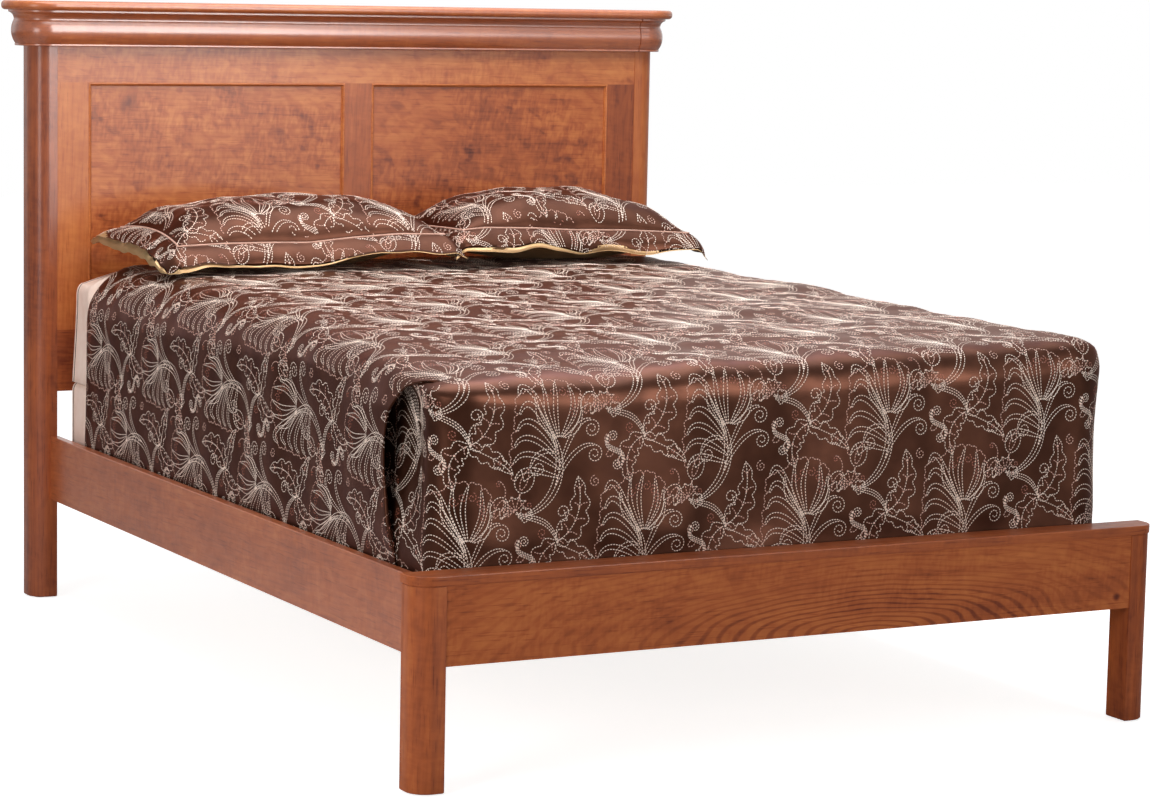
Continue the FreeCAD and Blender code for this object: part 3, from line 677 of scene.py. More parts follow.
SOFT_WIDTH = 0.030  # of the strips that are smoothed, at the foot's edge and along both sides
EDGES_ABOVE = 0.70  # nothing lower is smoothed
SMOOTHING_PASSES = 14

links = np.array([edge.vertices[:] for edge in coverlet.data.edges])
count = np.bincount(links.reshape(-1), minlength=len(cover_points))[:, None]
x, y, z = cover_points.T
from_foot = (y - FOOT_FACE - FOOT_ROUND) / SOFT_WIDTH
from_side = (np.abs(x) - HALF_WIDTH + round_wide(y - FOOT_FACE)) / SOFT_WIDTH
soft = np.exp(-(from_foot**2)) * (np.abs(x) < 0.70)
soft = np.maximum(soft, 0.8 * np.exp(-(from_side**2)) * (y > -0.93)) * (z > EDGES_ABOVE)
for _ in range(SMOOTHING_PASSES):
    total = np.zeros_like(cover_points)
    np.add.at(total, links[:, 0], cover_points[links[:, 1]])
    np.add.at(total, links[:, 1], cover_points[links[:, 0]])
    inside = (soft > 0.02) & (y < HEAD_EDGE - 0.001)
    cover_points[inside] += (0.6 * soft[:, None] * (total / count - cover_points))[inside]
move(coverlet, cover_points)
print("points near the top's edges:", int((soft > 0.02).sum()))

# %% Let the cloth ripple
# the hidden layers of the pleats lie still, and the ripple fades out before them
FADE = np.linspace(1, 0, 26)
shares = [np.ones(grid.shape[:2]) for grid in grids]
shares[1][:, -len(FADE) :] = FADE
shares[2][:, : len(FADE)] = FADE[::-1]
for bridge in shares[len(patches) :]:
    bridge[:] = 0
free = np.ones(len(cover_points))
np.minimum.at(free, joined, np.concatenate([share.reshape(-1) for share in shares]))

SWING, PUCKER, FOLD, BELLY = 0.0042, 0.0016, 0.0022, 0.0016  # how far each moves the cloth
x, y, z = cover_points.T
# above_hem keeps the lower edge in line, and hang picks what hangs below the edges of the top
above_hem = ease((z - 0.40) / 0.06)
hang = ease((0.76 - z) / 0.04)
swing = SWING * ripple(cover_points, 0.34, 0)
swing = swing + PUCKER * ripple(cover_points * (1, 1, 0.45), 0.12, 20)
folds = FOLD * ripple(cover_points * (1, 1, 0.12), 0.16, 40) * hang
lift = (swing + folds) * above_hem * free + BELLY * above_hem * hang
cover_points = cover_points + normals_of(coverlet) * lift[:, None]

# the head ends of the sides slant towards the foot, and a small ear stands at the right foot corner
slant = 0.026 * ease((y - 0.40) / 0.48) * ease((z - 0.45) / 0.30) * ease((np.abs(x) - 0.60) / 0.16)
cover_points = cover_points - slant[:, None] * np.array([0, 1, 0])
ear = np.exp(-(((x - 0.742) / 0.022) ** 2 + ((y + 1.006) / 0.022) ** 2 + ((z - 0.774) / 0.02) ** 2))
cover_points = cover_points + ear[:, None] * np.array([0.006, -0.005, 0.004])
move(coverlet, cover_points)
print("cloth moved by %.1f to %.1f mm" % (1000 * lift.min(), 1000 * lift.max()))

# %% Give the coverlet its thickness
cover_normals = normals_of(coverlet)
before = 0
draped = []
for grid, flat in patches:
    own = joined[before : before + grid.shape[0] * grid.shape[1]].reshape(grid.shape[:2])
    before += own.size
    draped.append((cover_points[own], cover_normals[own], flat))


def thicken(piece, thickness):
    """Turn a single skin into a closed sheet, growing inwards."""
    wall = piece.modifiers.new("wall", "SOLIDIFY")
    wall.thickness, wall.offset, wall.use_even_offset = thickness, -1, False
    graph = bpy.context.evaluated_depsgraph_get()
    solid = bpy.data.meshes.new_from_object(piece.evaluated_get(graph))
    piece.modifiers.clear()
    piece.data = solid
    piece.data.name = piece.name


COVER_THICKNESS = 0.0022
thicken(coverlet, COVER_THICKNESS)

# %% [markdown]
# ## Satin
# Satin is polyester woven so that long threads float on its face. That makes it smooth and gives it
# a broad, soft shine in the colour of the thread, palest where the cloth turns away. So the surface
# is partly metal-like, which colours its shine like the thread, with a tinted highlight and a thin
# sheen on top. The floats are far too fine to see, so the fine bump is drawn coarser, 1 by 8 mm,
# and a second one of 50 mm lets the shine wander as it does on hanging cloth.

# %% Satin
def satin_weave(name, dark, light, tint, roughness=0.35):
    """Polyester satin from its two colours and the tint of its shine."""
    made, tree, out = new_material(name)
    point = add(tree, "ShaderNodeTexCoord").outputs["Object"]
    floats = {"Vector": point, "Scale": (0.008, 0.001, 0.004)}
    floats = add(tree, "ShaderNodeMapping", floats, vector_type="TEXTURE").outputs["Vector"]
    floats = add(tree, "ShaderNodeTexNoise", {"Vector": floats, "Scale": 1.0, "Detail": 2.0}).outputs["Fac"]
    drift = add(tree, "ShaderNodeTexNoise", {"Vector": point, "Scale": 20.0, "Detail": 2.0}).outputs["Fac"]
    shades = [(0.3, dark), (0.7, light)]
    colour = add(tree, "ShaderNodeValToRGB", {"Fac": drift}, shades).outputs["Color"]
    broad = {"Height": drift, "Strength": 0.3, "Distance": 0.0022}
    normal = add(tree, "ShaderNodeBump", broad).outputs["Normal"]
    fine = {"Height": floats, "Strength": 0.25, "Distance": 0.0002, "Normal": normal}
    normal = add(tree, "ShaderNodeBump", fine).outputs["Normal"]
    cloth = {
        "Base Color": colour,
        "Roughness": roughness,
        "Metallic": 0.50,
        "IOR": 1.4,
        "Specular IOR Level": 0.34,
        "Specular Tint": linear(tint),
        "Sheen Weight": 0.05,
        "Sheen Roughness": 0.25,
        "Sheen Tint": linear(tint),
        "Normal": normal,
    }
    cloth = add(tree, "ShaderNodeBsdfPrincipled", cloth)
    tree.links.new(cloth.outputs["BSDF"], out.inputs["Surface"])
    return made


brown_satin = satin_weave("polyester_satin_woven_chocolate", "#331B12", "#43271C", "#E6B09A")
gold_satin = satin_weave("polyester_satin_woven_gold", "#A98A62", "#BF9F78", "#E6CDA8", 0.42)
wear(coverlet, brown_satin)
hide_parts("coverlet")
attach(coverlet, "mattress")
print("satins:", brown_satin.name, gold_satin.name)

# %% [markdown]
# ## What the coverlet lies on
# The mattress is soft, so it takes the coverlet's rounded shape a few millimetres below it, and the
# fitted sheet goes over it like a tight cap. Both are made by the same rule as the coverlet, with
# rings that go all the way round. The box spring below is firm and square.


# %% A soft block made of rings
BLOCK_ROUND_RINGS, BLOCK_DROP_RINGS = 8, 14
BLOCK_SPLIT = 0.84  # the rows lie closer together from here to the head


def ring_block(half, foot_y, head_y, crest_at, wide_at, deep_at, low, corners, bottom=True):
    """The points and faces of a block: rings round a rectangle, rounded at the top, and two ends.

    half is half its width. wide_at and deep_at say how far the rounding reaches in and down, and
    corners how far it reaches in at the foot and at the head. Without its bottom it is open below.
    """
    out, dip, drop = ring_shares(BLOCK_ROUND_RINGS, BLOCK_DROP_RINGS)
    turn = np.linspace(0, math.pi / 2, 9)[1:-1]
    foot_corner, head_corner = corners
    base_y, end_y = foot_y + foot_corner, head_y - head_corner
    ys = [np.linspace(end_y, BLOCK_SPLIT, 24), np.linspace(BLOCK_SPLIT, base_y, 84)[1:]]
    ys = np.concatenate(ys)
    xs = np.linspace(-1, 1, 70)
    foot_wide, head_wide = wide_at(base_y), wide_at(end_y)

    def line(x, y, reach_x, reach_y, along):
        """A piece of the inner line, and how far out from it the edge reaches."""
        return [value + 0 * along for value in (x, y, reach_x, reach_y)]

    parts = [
        line(-(half - wide_at(ys)), ys, -wide_at(ys), 0, ys),
        line(-(half - foot_wide), base_y, -foot_wide * np.cos(turn), -foot_corner * np.sin(turn), turn),
        line(xs * (half - foot_wide), base_y, 0, -foot_corner, xs),
        line(half - foot_wide, base_y, foot_wide * np.sin(turn), -foot_corner * np.cos(turn), turn),
        line(half - wide_at(ys[::-1]), ys[::-1], wide_at(ys[::-1]), 0, ys),
        line(half - head_wide, end_y, head_wide * np.cos(turn), head_corner * np.sin(turn), turn),
        line(-xs * (half - head_wide), end_y, 0, head_corner, xs),
        line(-(half - head_wide), end_y, -head_wide * np.sin(turn), head_corner * np.cos(turn), turn),
    ]
    x, y, reach_x, reach_y = (np.concatenate([part[i] for part in parts]) for i in range(4))
    z = (crest_at(x, y) - deep_at(x, y) * dip) * (1 - drop) + low * drop
    loop = np.stack([x + reach_x * out, y + reach_y * out, z], -1)
    gx, gy = np.meshgrid(xs, ys[::-1], indexing="ij")
    gx = gx * (half - wide_at(gy))
    sheets = [np.concatenate([loop, loop[:, :1]], axis=1), np.stack([gx, gy, crest_at(gx, gy)], -1)]
    if bottom:
        rim = np.stack([np.stack([x + reach_x * s, y + reach_y * s, low + 0 * x], -1) for s in (1, 0.5, 0)])
        sheets += [np.concatenate([rim, rim[:, :1]], axis=1), np.stack([gx, gy, low + 0 * gx], -1)[:, ::-1]]
    points, kept, _ = weld(*join_grids(sheets))
    return points, kept


PLEAT_TOP = 0.744
DENT_FROM, DENT_TO = FOOT_FACE + FOOT_ROUND - 0.06, -0.66


def dent(points):
    """Press the sides in behind the two pleats."""
    x, y, z = points.T
    window = ease((y - DENT_FROM) / 0.085) * ease((DENT_TO - y) / 0.07)
    below = PLEAT_TOP - z
    depth = hollow(np.clip(below, 0.045, 1)) + 0.004 * (below < 0.25)
    x = x - np.sign(x) * depth * window * ease((np.abs(x) - 0.6) / 0.12)
    return np.stack([x, y, z], -1)


print("behind the pleats the sides go in by %.0f mm" % (1000 * hollow(0.05)))

# %% Mattress and fitted sheet
BARE_FROM = 0.886  # just past the coverlet's head edge
MATTRESS_LOW, MATTRESS_HEAD = 0.5288, 1.0032
MATTRESS_INSET, SHEET_INSET = 0.0085, 0.0068  # how far each lies inside the coverlet's sizes
SHEET_THICKNESS = 0.0008


def bare(y):
    """0 under the coverlet, 1 at the head end that it leaves bare."""
    return ease((y - BARE_FROM) / 0.03)


def soft_crest(inset):
    """The mattress's top, a few millimetres below the coverlet, with firmer shoulders at the head."""

    def at(x, y):
        sag = 0.008 + 0.013 * (1 - ease((y - FOOT_FACE) / 0.3))
        shoulder = 0.036 * np.clip((np.abs(x) - 0.60) / 0.145, 0, 1) ** 1.3
        high = crest(x, np.minimum(y, HEAD_EDGE)) - shoulder * bare(y)
        return np.minimum(high, 0.815) - inset - sag

    return at


def soft_deep(x, y):
    """How far down the rounding of the edge goes."""
    side = np.where(x < 0, deep_left(y - FOOT_FACE), deep_right(y - FOOT_FACE))
    foot = np.clip(1 - (y - FOOT_FACE - FOOT_ROUND) / 0.002, 0, 1)
    side = side + (0.028 - side) * bare(y)
    return side + (deep_foot(x) - side) * foot * (np.abs(x) < HALF_WIDTH - 0.083)


def soft_wide(y):
    """How far in the rounding of a side reaches."""
    return round_wide(np.minimum(y, HEAD_EDGE) - FOOT_FACE) - 0.122 * bare(y)


def soft_body(name, inset, low, bottom=True):
    """The mattress, or its sheet, as a piece."""
    foot_y, head_y = FOOT_FACE + inset * 0.72, MATTRESS_HEAD + 0.0075 - inset
    corners = (FOOT_ROUND - 0.004, 0.010)
    points, faces = ring_block(
        HALF_WIDTH - inset, foot_y, head_y, soft_crest(inset), soft_wide, soft_deep, low, corners, bottom
    )
    # at the head the sides lean in a little
    x, y, z = dent(points).T
    lean = 0.012 * ease((z - 0.45) / 0.3) * ease((y - 0.86) / 0.08) * ease((np.abs(x) - 0.5) / 0.2)
    return new_piece(name, np.stack([x - np.sign(x) * lean, y, z], -1), faces)


mattress = soft_body("mattress_body", MATTRESS_INSET, MATTRESS_LOW)
fitted_sheet = soft_body("fitted_sheet_cloth", SHEET_INSET, MATTRESS_LOW + 0.001, bottom=False)
thicken(fitted_sheet, SHEET_THICKNESS)

# %% Box spring
spring_low, spring_high = [Vector(c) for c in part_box("box_spring")]
points, faces = ring_block(
    spring_high.x - 0.001,
    spring_low.y + 0.001,
    spring_high.y,
    lambda x, y: spring_high.z - 0.0008 + 0 * x,
    lambda y: 0.075 - 0.063 * bare(y),
    lambda x, y: 0.030 - 0.010 * bare(y),
    spring_low.z + 0.0006,
    (0.075, 0.010),
)
box_spring = new_piece("box_spring_body", dent(points), faces)
print("box spring faces:", len(faces))

# %% [markdown]
# ## The shams
# A sham is a flat bag with a flange: a brown satin top and a gold satin back are sewn together
# round the pillow, with a piping cord in the seam, and go on past the seam as a loose double border.
# The pillow fills the bag like a lens, thick in the middle and thin at the seam. The flange has
# nothing in it, so it falls over the edge, and its corners fall furthest.

# %% Sham shape
FLANGE = 0.057
BODY_CELLS, FLANGE_CELLS = (72, 44), 9
CROWDING = 0.92  # how much closer the points lie near the seam
LEAST_GAP = 0.0018  # between the two layers


def sham(span_x, span_y, seam_at, fall_at, roll_at, puff_high, turn):
    """The two layers of a sham as grids, their flat places, and the line of the piping.

    seam_at gives the height of the seam, fall_at how steeply the flange falls, and roll_at how far
    its two layers part at the hem. turn picks the random waves.
    """
    half_x, half_y = (span_x[1] - span_x[0]) / 2, (span_y[1] - span_y[0]) / 2
    mid_x, mid_y = sum(span_x) / 2, sum(span_y) / 2

    def axis(cells, half):
        """Places from hem to hem, in which the seams lie at -1 and 1."""
        inner = np.sin(np.linspace(-math.pi / 2, math.pi / 2, cells + 1) * CROWDING)
        inner = inner / math.sin(math.pi / 2 * CROWDING)
        outer = np.linspace(FLANGE, 0, FLANGE_CELLS, endpoint=False) / half
        return np.concatenate([-1 - outer, inner, 1 + outer[::-1]])

    # p and q go from hem to hem, and ip and iq stop at the seam, whose sides bow in by 10 and 12 mm
    p, q = np.meshgrid(axis(BODY_CELLS[0], half_x), axis(BODY_CELLS[1], half_y), indexing="ij")
    ip, iq = np.clip(p, -1, 1), np.clip(q, -1, 1)
    x = mid_x + half_x * ip - 0.010 * np.sign(ip) * np.abs(ip) ** 3 * (1 - iq**2)
    y = mid_y + half_y * iq - 0.012 * np.sign(iq) * np.abs(iq) ** 3 * (1 - ip**2)
    seam = seam_at(x, iq)
    lens = ((1 - np.abs(ip) ** 2.6) * (1 - np.abs(iq) ** 2.6)) ** 0.62

    # the steeper the flange falls, the less far it reaches out
    out_x, out_y = (p - ip) * half_x, (q - iq) * half_y
    away = np.hypot(out_x, out_y)
    fall = fall_at(x, ip, iq)
    bend = fall * (0.55 + 0.45 * np.clip(away / FLANGE, 0, 1.2))
    bend = np.clip(bend, 0, 0.97)
    x = x + out_x * np.sqrt(1 - bend**2)
    y = y + out_y * np.sqrt(1 - bend**2)
    loose = away / FLANGE
    flat = np.stack([out_x + ip * half_x, out_y + iq * half_y], -1)

    # both layers wave, and neither goes through the other or through what they lie on
    probe = np.stack([x, y, 0 * x], -1).reshape(-1, 3)
    wave = ripple(probe, 0.17, turn).reshape(x.shape)
    crease = ripple(probe * (1, 1.6, 1), 0.10, turn + 14).reshape(x.shape)
    high = seam + puff_high * lens + (0.006 * wave + 0.0022 * crease) * lens**0.5
    high = high - away * bend + 0.007 * wave * loose + 0.003 * crease * loose
    rest = crest(np.clip(x, -0.6, 0.7), y) + 0.008
    sink = np.minimum(0.9 * puff_high * lens, seam - rest)
    low = seam - sink - away * bend + (0.007 * wave + 0.003 * crease) * loose
    low = np.minimum(low, high - LEAST_GAP - roll_at(x, ip, iq) * np.clip(loose, 0, 1) ** 2)
    low = np.maximum(low, rest)
    high = np.maximum(high, low + LEAST_GAP)
    top = np.stack([x, y, high], -1)
    under = np.stack([x, y, low], -1)
    k = FLANGE_CELLS  # rows and columns from the hem to the seam
    line = np.concatenate([top[k:-k, k], top[-k - 1, k:-k], top[k:-k, -k - 1][::-1], top[k, k:-k][::-1]])
    return top, under, flat, line


print("flange: %.0f mm wide" % (1000 * FLANGE))


# %% Closing a sham, and its piping
def close_sham(name, top, under, turned):
    """Join the two layers round the hem. The face is brown, the hem and the back are gold."""
    rows, columns = top.shape[:2]
    i, j = np.arange(rows), np.arange(columns)
    hem_i = np.concatenate([i, 0 * j[1:] + rows - 1, i[-2::-1], 0 * j[1:]])
    hem_j = np.concatenate([0 * i, j[1:], 0 * i[1:] + columns - 1, j[-2::-1]])
    upper, lower = top[hem_i, hem_j], under[hem_i, hem_j]
    outwards = upper - top[rows // 2, columns // 2]
    outwards[:, 2] = 0
    outwards /= np.linalg.norm(outwards, axis=1)[:, None]
    fold = (upper + lower) / 2 + outwards * 0.35 * np.linalg.norm(upper - lower, axis=1)[:, None]
    points, faces = join_grids([top, under[::-1], np.stack([lower, fold, upper])])
    gold = np.ones(len(faces), np.int32)
    gold[: turned.size] = turned.reshape(-1)
    points, kept, _ = weld(points, faces)
    made = new_piece(name, points, kept)
    wear(made, brown_satin, gold_satin)
    made.data.polygons.foreach_set("material_index", gold)
    return made


def tube(name, line, radius, sides=10):
    """A round cord along a closed line of points."""
    # points that lie closer than 1.5 mm would pinch the cord
    line = np.asarray(line)
    keep = np.concatenate([[True], np.linalg.norm(np.diff(line, axis=0), axis=1) > 0.0015])
    line = line[keep]
    ahead = np.roll(line, -1, axis=0) - np.roll(line, 1, axis=0)
    ahead /= np.linalg.norm(ahead, axis=1)[:, None]
    side = np.cross(ahead, (0, 0, 1.0))
    side /= np.linalg.norm(side, axis=1)[:, None]
    rise = np.cross(side, ahead)
    angle = np.linspace(0, 2 * math.pi, sides + 1)[:-1]
    to_side, to_top = np.cos(angle)[None, :, None], np.sin(angle)[None, :, None]
    rings = line[:, None] + radius * (to_side * side[:, None] + to_top * rise[:, None])
    count = len(line)
    index = np.arange(count * sides).reshape(count, sides)
    after, over = np.roll(index, -1, axis=0), np.roll(index, -1, axis=1)
    faces = np.stack([index, over, np.roll(after, -1, axis=1), after], -1).reshape(-1, 4)
    return new_piece(name, rings.reshape(-1, 3), faces.tolist())


PIPING_RADIUS, PIPING_LIFT = 0.0021, 0.0008
print("piping: %.1f mm thick" % (2000 * PIPING_RADIUS))


# %% Both shams
SHAM_Y = (0.587, 0.962)  # from seam to seam
SHAM_PUFF = 0.092  # height of a sham's middle above its seam


def side_values(front, left, back, right):
    """Blend a value for each side of a sham. front is a curve along the bed's width."""

    def at(x, p, q):
        weights = [np.clip(share, 0, 1) ** 6 for share in (-q, -p, q, p)]
        total = sum(weights) + 1e-6
        return sum(w * v for w, v in zip(weights, (front(x), left, back, right))) / total

    return at


# along the front of each sham, by the place across the bed: the height of the seam, how steeply the
# flange falls, and how far its two layers part
left_seam = through(
    [-0.65, -0.54, -0.43, -0.32, -0.21, -0.09, 0.03],
    [0.880, 0.884, 0.884, 0.882, 0.892, 0.899, 0.896],
)
left_fall = through([-0.65, -0.60, -0.48, -0.29, -0.13, 0.03], [0.85, 0.62, 0.76, 0.68, 0.62, 0.40])
left_roll = through([-0.65, -0.58, -0.40, -0.20, 0.03], [0.001, 0.002, 0.003, 0.001, 0.0])


def left_seam_at(x, q):
    """Height of the left sham's seam, raised at its outer end."""
    raised = 0.016 * (1 - q * q) * ease((-0.50 - x) / 0.13)
    return left_seam(x) * (1 - q) / 2 + 0.897 * (1 + q) / 2 + raised


left_shapes = sham(
    (-0.650, 0.022),  # from seam to seam across the bed
    SHAM_Y,
    left_seam_at,
    side_values(left_fall, 0.52, 0.25, 0.85),
    side_values(left_roll, 0.022, 0.004, 0.001),
    SHAM_PUFF,
    turn=2,
)
right_seam = through([0.06, 0.13, 0.27, 0.37, 0.52, 0.69], [0.905, 0.910, 0.906, 0.900, 0.897, 0.888])
right_fall = through([0.06, 0.15, 0.24, 0.33, 0.44, 0.60, 0.69], [0.62, 0.66, 0.76, 0.72, 0.94, 0.86, 0.75])
right_roll = through([0.06, 0.16, 0.30, 0.40, 0.69], [0.006, 0.011, 0.008, 0.001, 0.0])
right_shapes = sham(
    (0.070, 0.690),
    SHAM_Y,
    lambda x, q: right_seam(x) * (1 - q) / 2 + 0.895 * (1 + q) / 2,
    side_values(right_fall, 0.93, 0.25, 0.70),
    side_values(right_roll, 0.006, 0.001, 0.001),
    SHAM_PUFF,
    turn=30,
)


def gold_cells(flat, corner):
    """Which cells of a sham's face show gold: the back left corner, if it is turned up."""
    middle = (flat[:-1, :-1] + flat[1:, 1:]) / 2
    low_x, high_y = flat[0, 0, 0], flat[-1, -1, 1]
    turned = (middle[..., 0] - low_x) - 0.5 * (middle[..., 1] - high_y + 0.095)
    return (turned < 0) & corner


sham_left = close_sham("sham_left", left_shapes[0], left_shapes[1], gold_cells(left_shapes[2], True))
sham_right = close_sham("sham_right", right_shapes[0], right_shapes[1], gold_cells(right_shapes[2], False))
piping_left = tube("piping_left", left_shapes[3] + (0, 0, PIPING_LIFT), PIPING_RADIUS)
piping_right = tube("piping_right", right_shapes[3] + (0, 0, PIPING_LIFT), PIPING_RADIUS)
print("sham faces:", len(sham_left.data.polygons), len(sham_right.data.polygons))

# %% [markdown]
# ## Cotton, ticking and piping
# The fitted sheet is cream cotton sateen, with a stitched hem near its head end. The mattress and
# the box spring are covered in ticking, a dense twill. The piping is a cord in a strip of tan twill.
# All three are matt cloths made of fine diagonal lines, so one material serves them, with its own
# colour and line spacing. The lines are drawn 2.4 or 4 mm apart, because the real half millimetre
# would not show.

# %% Matt twills
WAVE_LENGTH = 0.628  # of a wave texture whose scale is 1, along an axis


def twill(name, colour, shade, spacing=0.004, hem=None):
    """Matt woven cloth with diagonal lines. hem is where a dark row of stitches runs, in Y."""
    made, tree, out = new_material(name)
    point = add(tree, "ShaderNodeTexCoord").outputs["Object"]
    slub = add(tree, "ShaderNodeTexNoise", {"Vector": point, "Scale": 30.0, "Detail": 3.0}).outputs["Fac"]
    shades = [(0.3, shade), (0.7, colour)]
    surface = add(tree, "ShaderNodeValToRGB", {"Fac": slub}, shades).outputs["Color"]
    if hem:
        way = add(tree, "ShaderNodeSeparateXYZ", {0: point}).outputs["Y"]
        way = {0: slub, 1: 0.006, 2: way}
        way = add(tree, "ShaderNodeMath", way, operation="MULTIPLY_ADD").outputs[0]
        row = {0: way, 1: hem + 0.003, 2: 0.0024}
        row = add(tree, "ShaderNodeMath", row, operation="COMPARE").outputs[0]
        thread = {"Factor": row, "A": surface, "B": linear("#5E4036")}
        surface = add(tree, "ShaderNodeMix", thread, data_type="RGBA").outputs["Result"]
    lines = {"Vector": point, "Scale": WAVE_LENGTH / spacing, "Distortion": 0.4}
    lines = add(tree, "ShaderNodeTexWave", lines, bands_direction="DIAGONAL").outputs["Fac"]
    relief = {"Height": lines, "Strength": 0.35, "Distance": 0.0003}
    relief = add(tree, "ShaderNodeBump", relief).outputs["Normal"]
    cloth = {"Base Color": surface, "Roughness": 0.85, "Sheen Weight": 0.1, "Normal": relief}
    cloth = add(tree, "ShaderNodeBsdfPrincipled", cloth)
    tree.links.new(cloth.outputs["BSDF"], out.inputs["Surface"])
    return made


HEM_ROW = 0.985
wear(fitted_sheet, twill("cotton_sateen_cream", "#FCE2D3", "#F4D4C3", hem=HEM_ROW))
wear(mattress, twill("cotton_ticking_ivory", "#E6DCCF", "#DCD0C0"))
wear(box_spring, twill("cotton_ticking_cream", "#FCE2D3", "#F4D4C3", hem=HEM_ROW))
tan_twill = twill("cotton_twill_tan", "#D9AE9C", "#CB9C88", 0.0024)
wear(piping_left, tan_twill)
wear(piping_right, tan_twill)
for piece in (fitted_sheet, mattress, box_spring, piping_left, piping_right):
    print(piece.name, "is", piece.data.materials[0].name)

for piece, node, body, slot in (
    (fitted_sheet, "fitted_sheet", "mattress", "cream_sateen"),
    (mattress, "mattress", "mattress", "mattress_ticking"),
    (box_spring, "box_spring", "box_spring", "box_spring_ticking"),
    (sham_left, "pillow_left", "pillow_left", "brown_satin"),
    (sham_right, "pillow_right", "pillow_right", "brown_satin"),
):
    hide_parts(node)
    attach(piece, body)
for piece, body in ((piping_left, "pillow_left"), (piping_right, "pillow_right")):
    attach(piece, body)
for piece, fill in ((mattress, 0.95), (box_spring, 1.0), (sham_left, 0.7), (sham_right, 0.7)):
    print(piece.name, "is padded, filled to", fill)

# %% [markdown]
# ## The embroidery's drawing
# The satin is embroidered all over with scrolling plumes, lobed leaves, buds and small flowers, in
# the paisley tradition. The drawing here is a new one in that manner. Each motif is a set of lines
# on flat cloth, in metres, and a line can be a single row of stitches or several rows side by side,
# as a thick stroke is filled. Complex numbers are handy for flat drawing: adding moves a line, and
# multiplying turns and scales it.


# %% Drawing tools
CREAM, TAN, ROSE = 0.0, 0.5, 1.0  # the three colours of thread


def spot(place):
    """A place on the flat cloth as one complex number."""
    return place if isinstance(place, complex) else complex(*place)


def bend(*places, count=26):
    """A curve from the first place to the last, pulled towards the two between."""
    t = np.linspace(0, 1, count)
    a, b, c, d = (spot(place) for place in places)
    return a * (1 - t) ** 3 + 3 * b * t * (1 - t) ** 2 + 3 * c * t**2 * (1 - t) + d * t**3


def curl(centre, radius, turns, start, way=1):
    """A spiral that winds inwards, to a fifth of its radius."""
    t = np.linspace(0, 1, int(20 * turns) + 6)
    angle = math.radians(start) + way * 2 * math.pi * turns * t
    return spot(centre) + radius * (1 - 0.80 * t) * np.exp(1j * angle)


def beside(line, gap):
    """The line that runs beside another at this gap."""
    ahead = np.gradient(line)
    return line + 1j * gap * ahead / np.abs(ahead)


def stroke(line, width, rows=3):
    """Rows of cream stitches that fill a stroke, widest in its middle."""
    swell = np.sin(np.pi * np.linspace(0.04, 0.96, len(line))) ** 0.7
    return [(beside(line, width * swell * share), CREAM) for share in np.linspace(-0.5, 0.5, rows)]


def scallops(places, bulge):
    """Small arcs from place to place."""
    t = np.linspace(0, 1, 7)[:-1]
    arcs = [a + (b - a) * t - 1j * (b - a) * bulge * 4 * t * (1 - t) for a, b in zip(places, places[1:])]
    return np.concatenate(arcs + [[places[-1]]])


print("a curl of 1.5 turns has %d points" % len(curl((0, 0), 0.0105, 1.5, 0)))


# %% Plume
FEATHERS = 6  # in the tail's fan, and again round the heart


def plume():
    """A paisley plume: a thick tail, feathers round it and its heart, a scalloped rim, and curls."""
    tail = bend((-0.052, -0.120), (0.006, -0.104), (0.024, -0.044), (-0.006, 0.010), count=40)
    lines = stroke(tail, 0.0150, 3)
    tips = []
    for number in range(FEATHERS):
        root = tail[22 + 3 * number]
        over = complex(-0.030 - 0.003 * number, 0.008 + 0.017 * number)
        tip = complex(-0.070 - 0.004 * math.sin(1.1 * number), -0.062 + 0.027 * number)
        lines += stroke(bend(root, root + over, tip + complex(0.010, 0.030), tip), 0.0085, 2)
        tips.append(tip)
    heart = complex(0.006, 0.048)
    for number in range(FEATHERS):
        angle = math.radians(150 - 30 * number)
        reach = 0.052 - 0.002 * number
        tip = heart + reach * np.exp(1j * angle)
        root = complex(0.000, 0.004) + 0.003 * number
        belly = (root + tip) / 2 + 0.014 * np.exp(1j * (angle + (0.9 if number < 3 else -0.9)))
        lines += stroke(bend(root, belly, belly, tip), 0.0080, 2)
        tips.append(tip)
        seed = heart + 0.62 * reach * np.exp(1j * (angle - 0.22))
        lines.append((curl(seed, 0.0085, 1.3, 40 * number, -1), ROSE))
    rim = []
    for a, b in zip(tips, tips[1:]):
        middle = (a + b) / 2
        rim += [a, middle + 0.006 * (middle - heart) / abs(middle - heart)]
    lines.append((scallops(rim + [tips[-1]], -0.40), TAN))
    for number, (x, y, size) in enumerate(((0.066, 0.016, 0.0150), (0.072, -0.026, 0.0150))):
        root = tail[26 - 8 * number]
        over = root + complex(0.014, 0.040)
        arm = bend(root, over, (x - 0.026, y + size + 0.008), (x, y + size), count=24)
        lines += stroke(arm, 0.0070, 2)
        lines.append((curl((x, y), size, 1.7, 90, -1), CREAM))
    hook = bend((-0.002, -0.020), (-0.014, -0.012), (-0.040, -0.016), (-0.044, -0.040), count=20)
    lines += stroke(hook, 0.0070, 2)
    lines.append((curl((-0.031, -0.044), 0.0130, 1.6, 180, 1), CREAM))
    return lines


print("lines in the plume:", len(plume()))


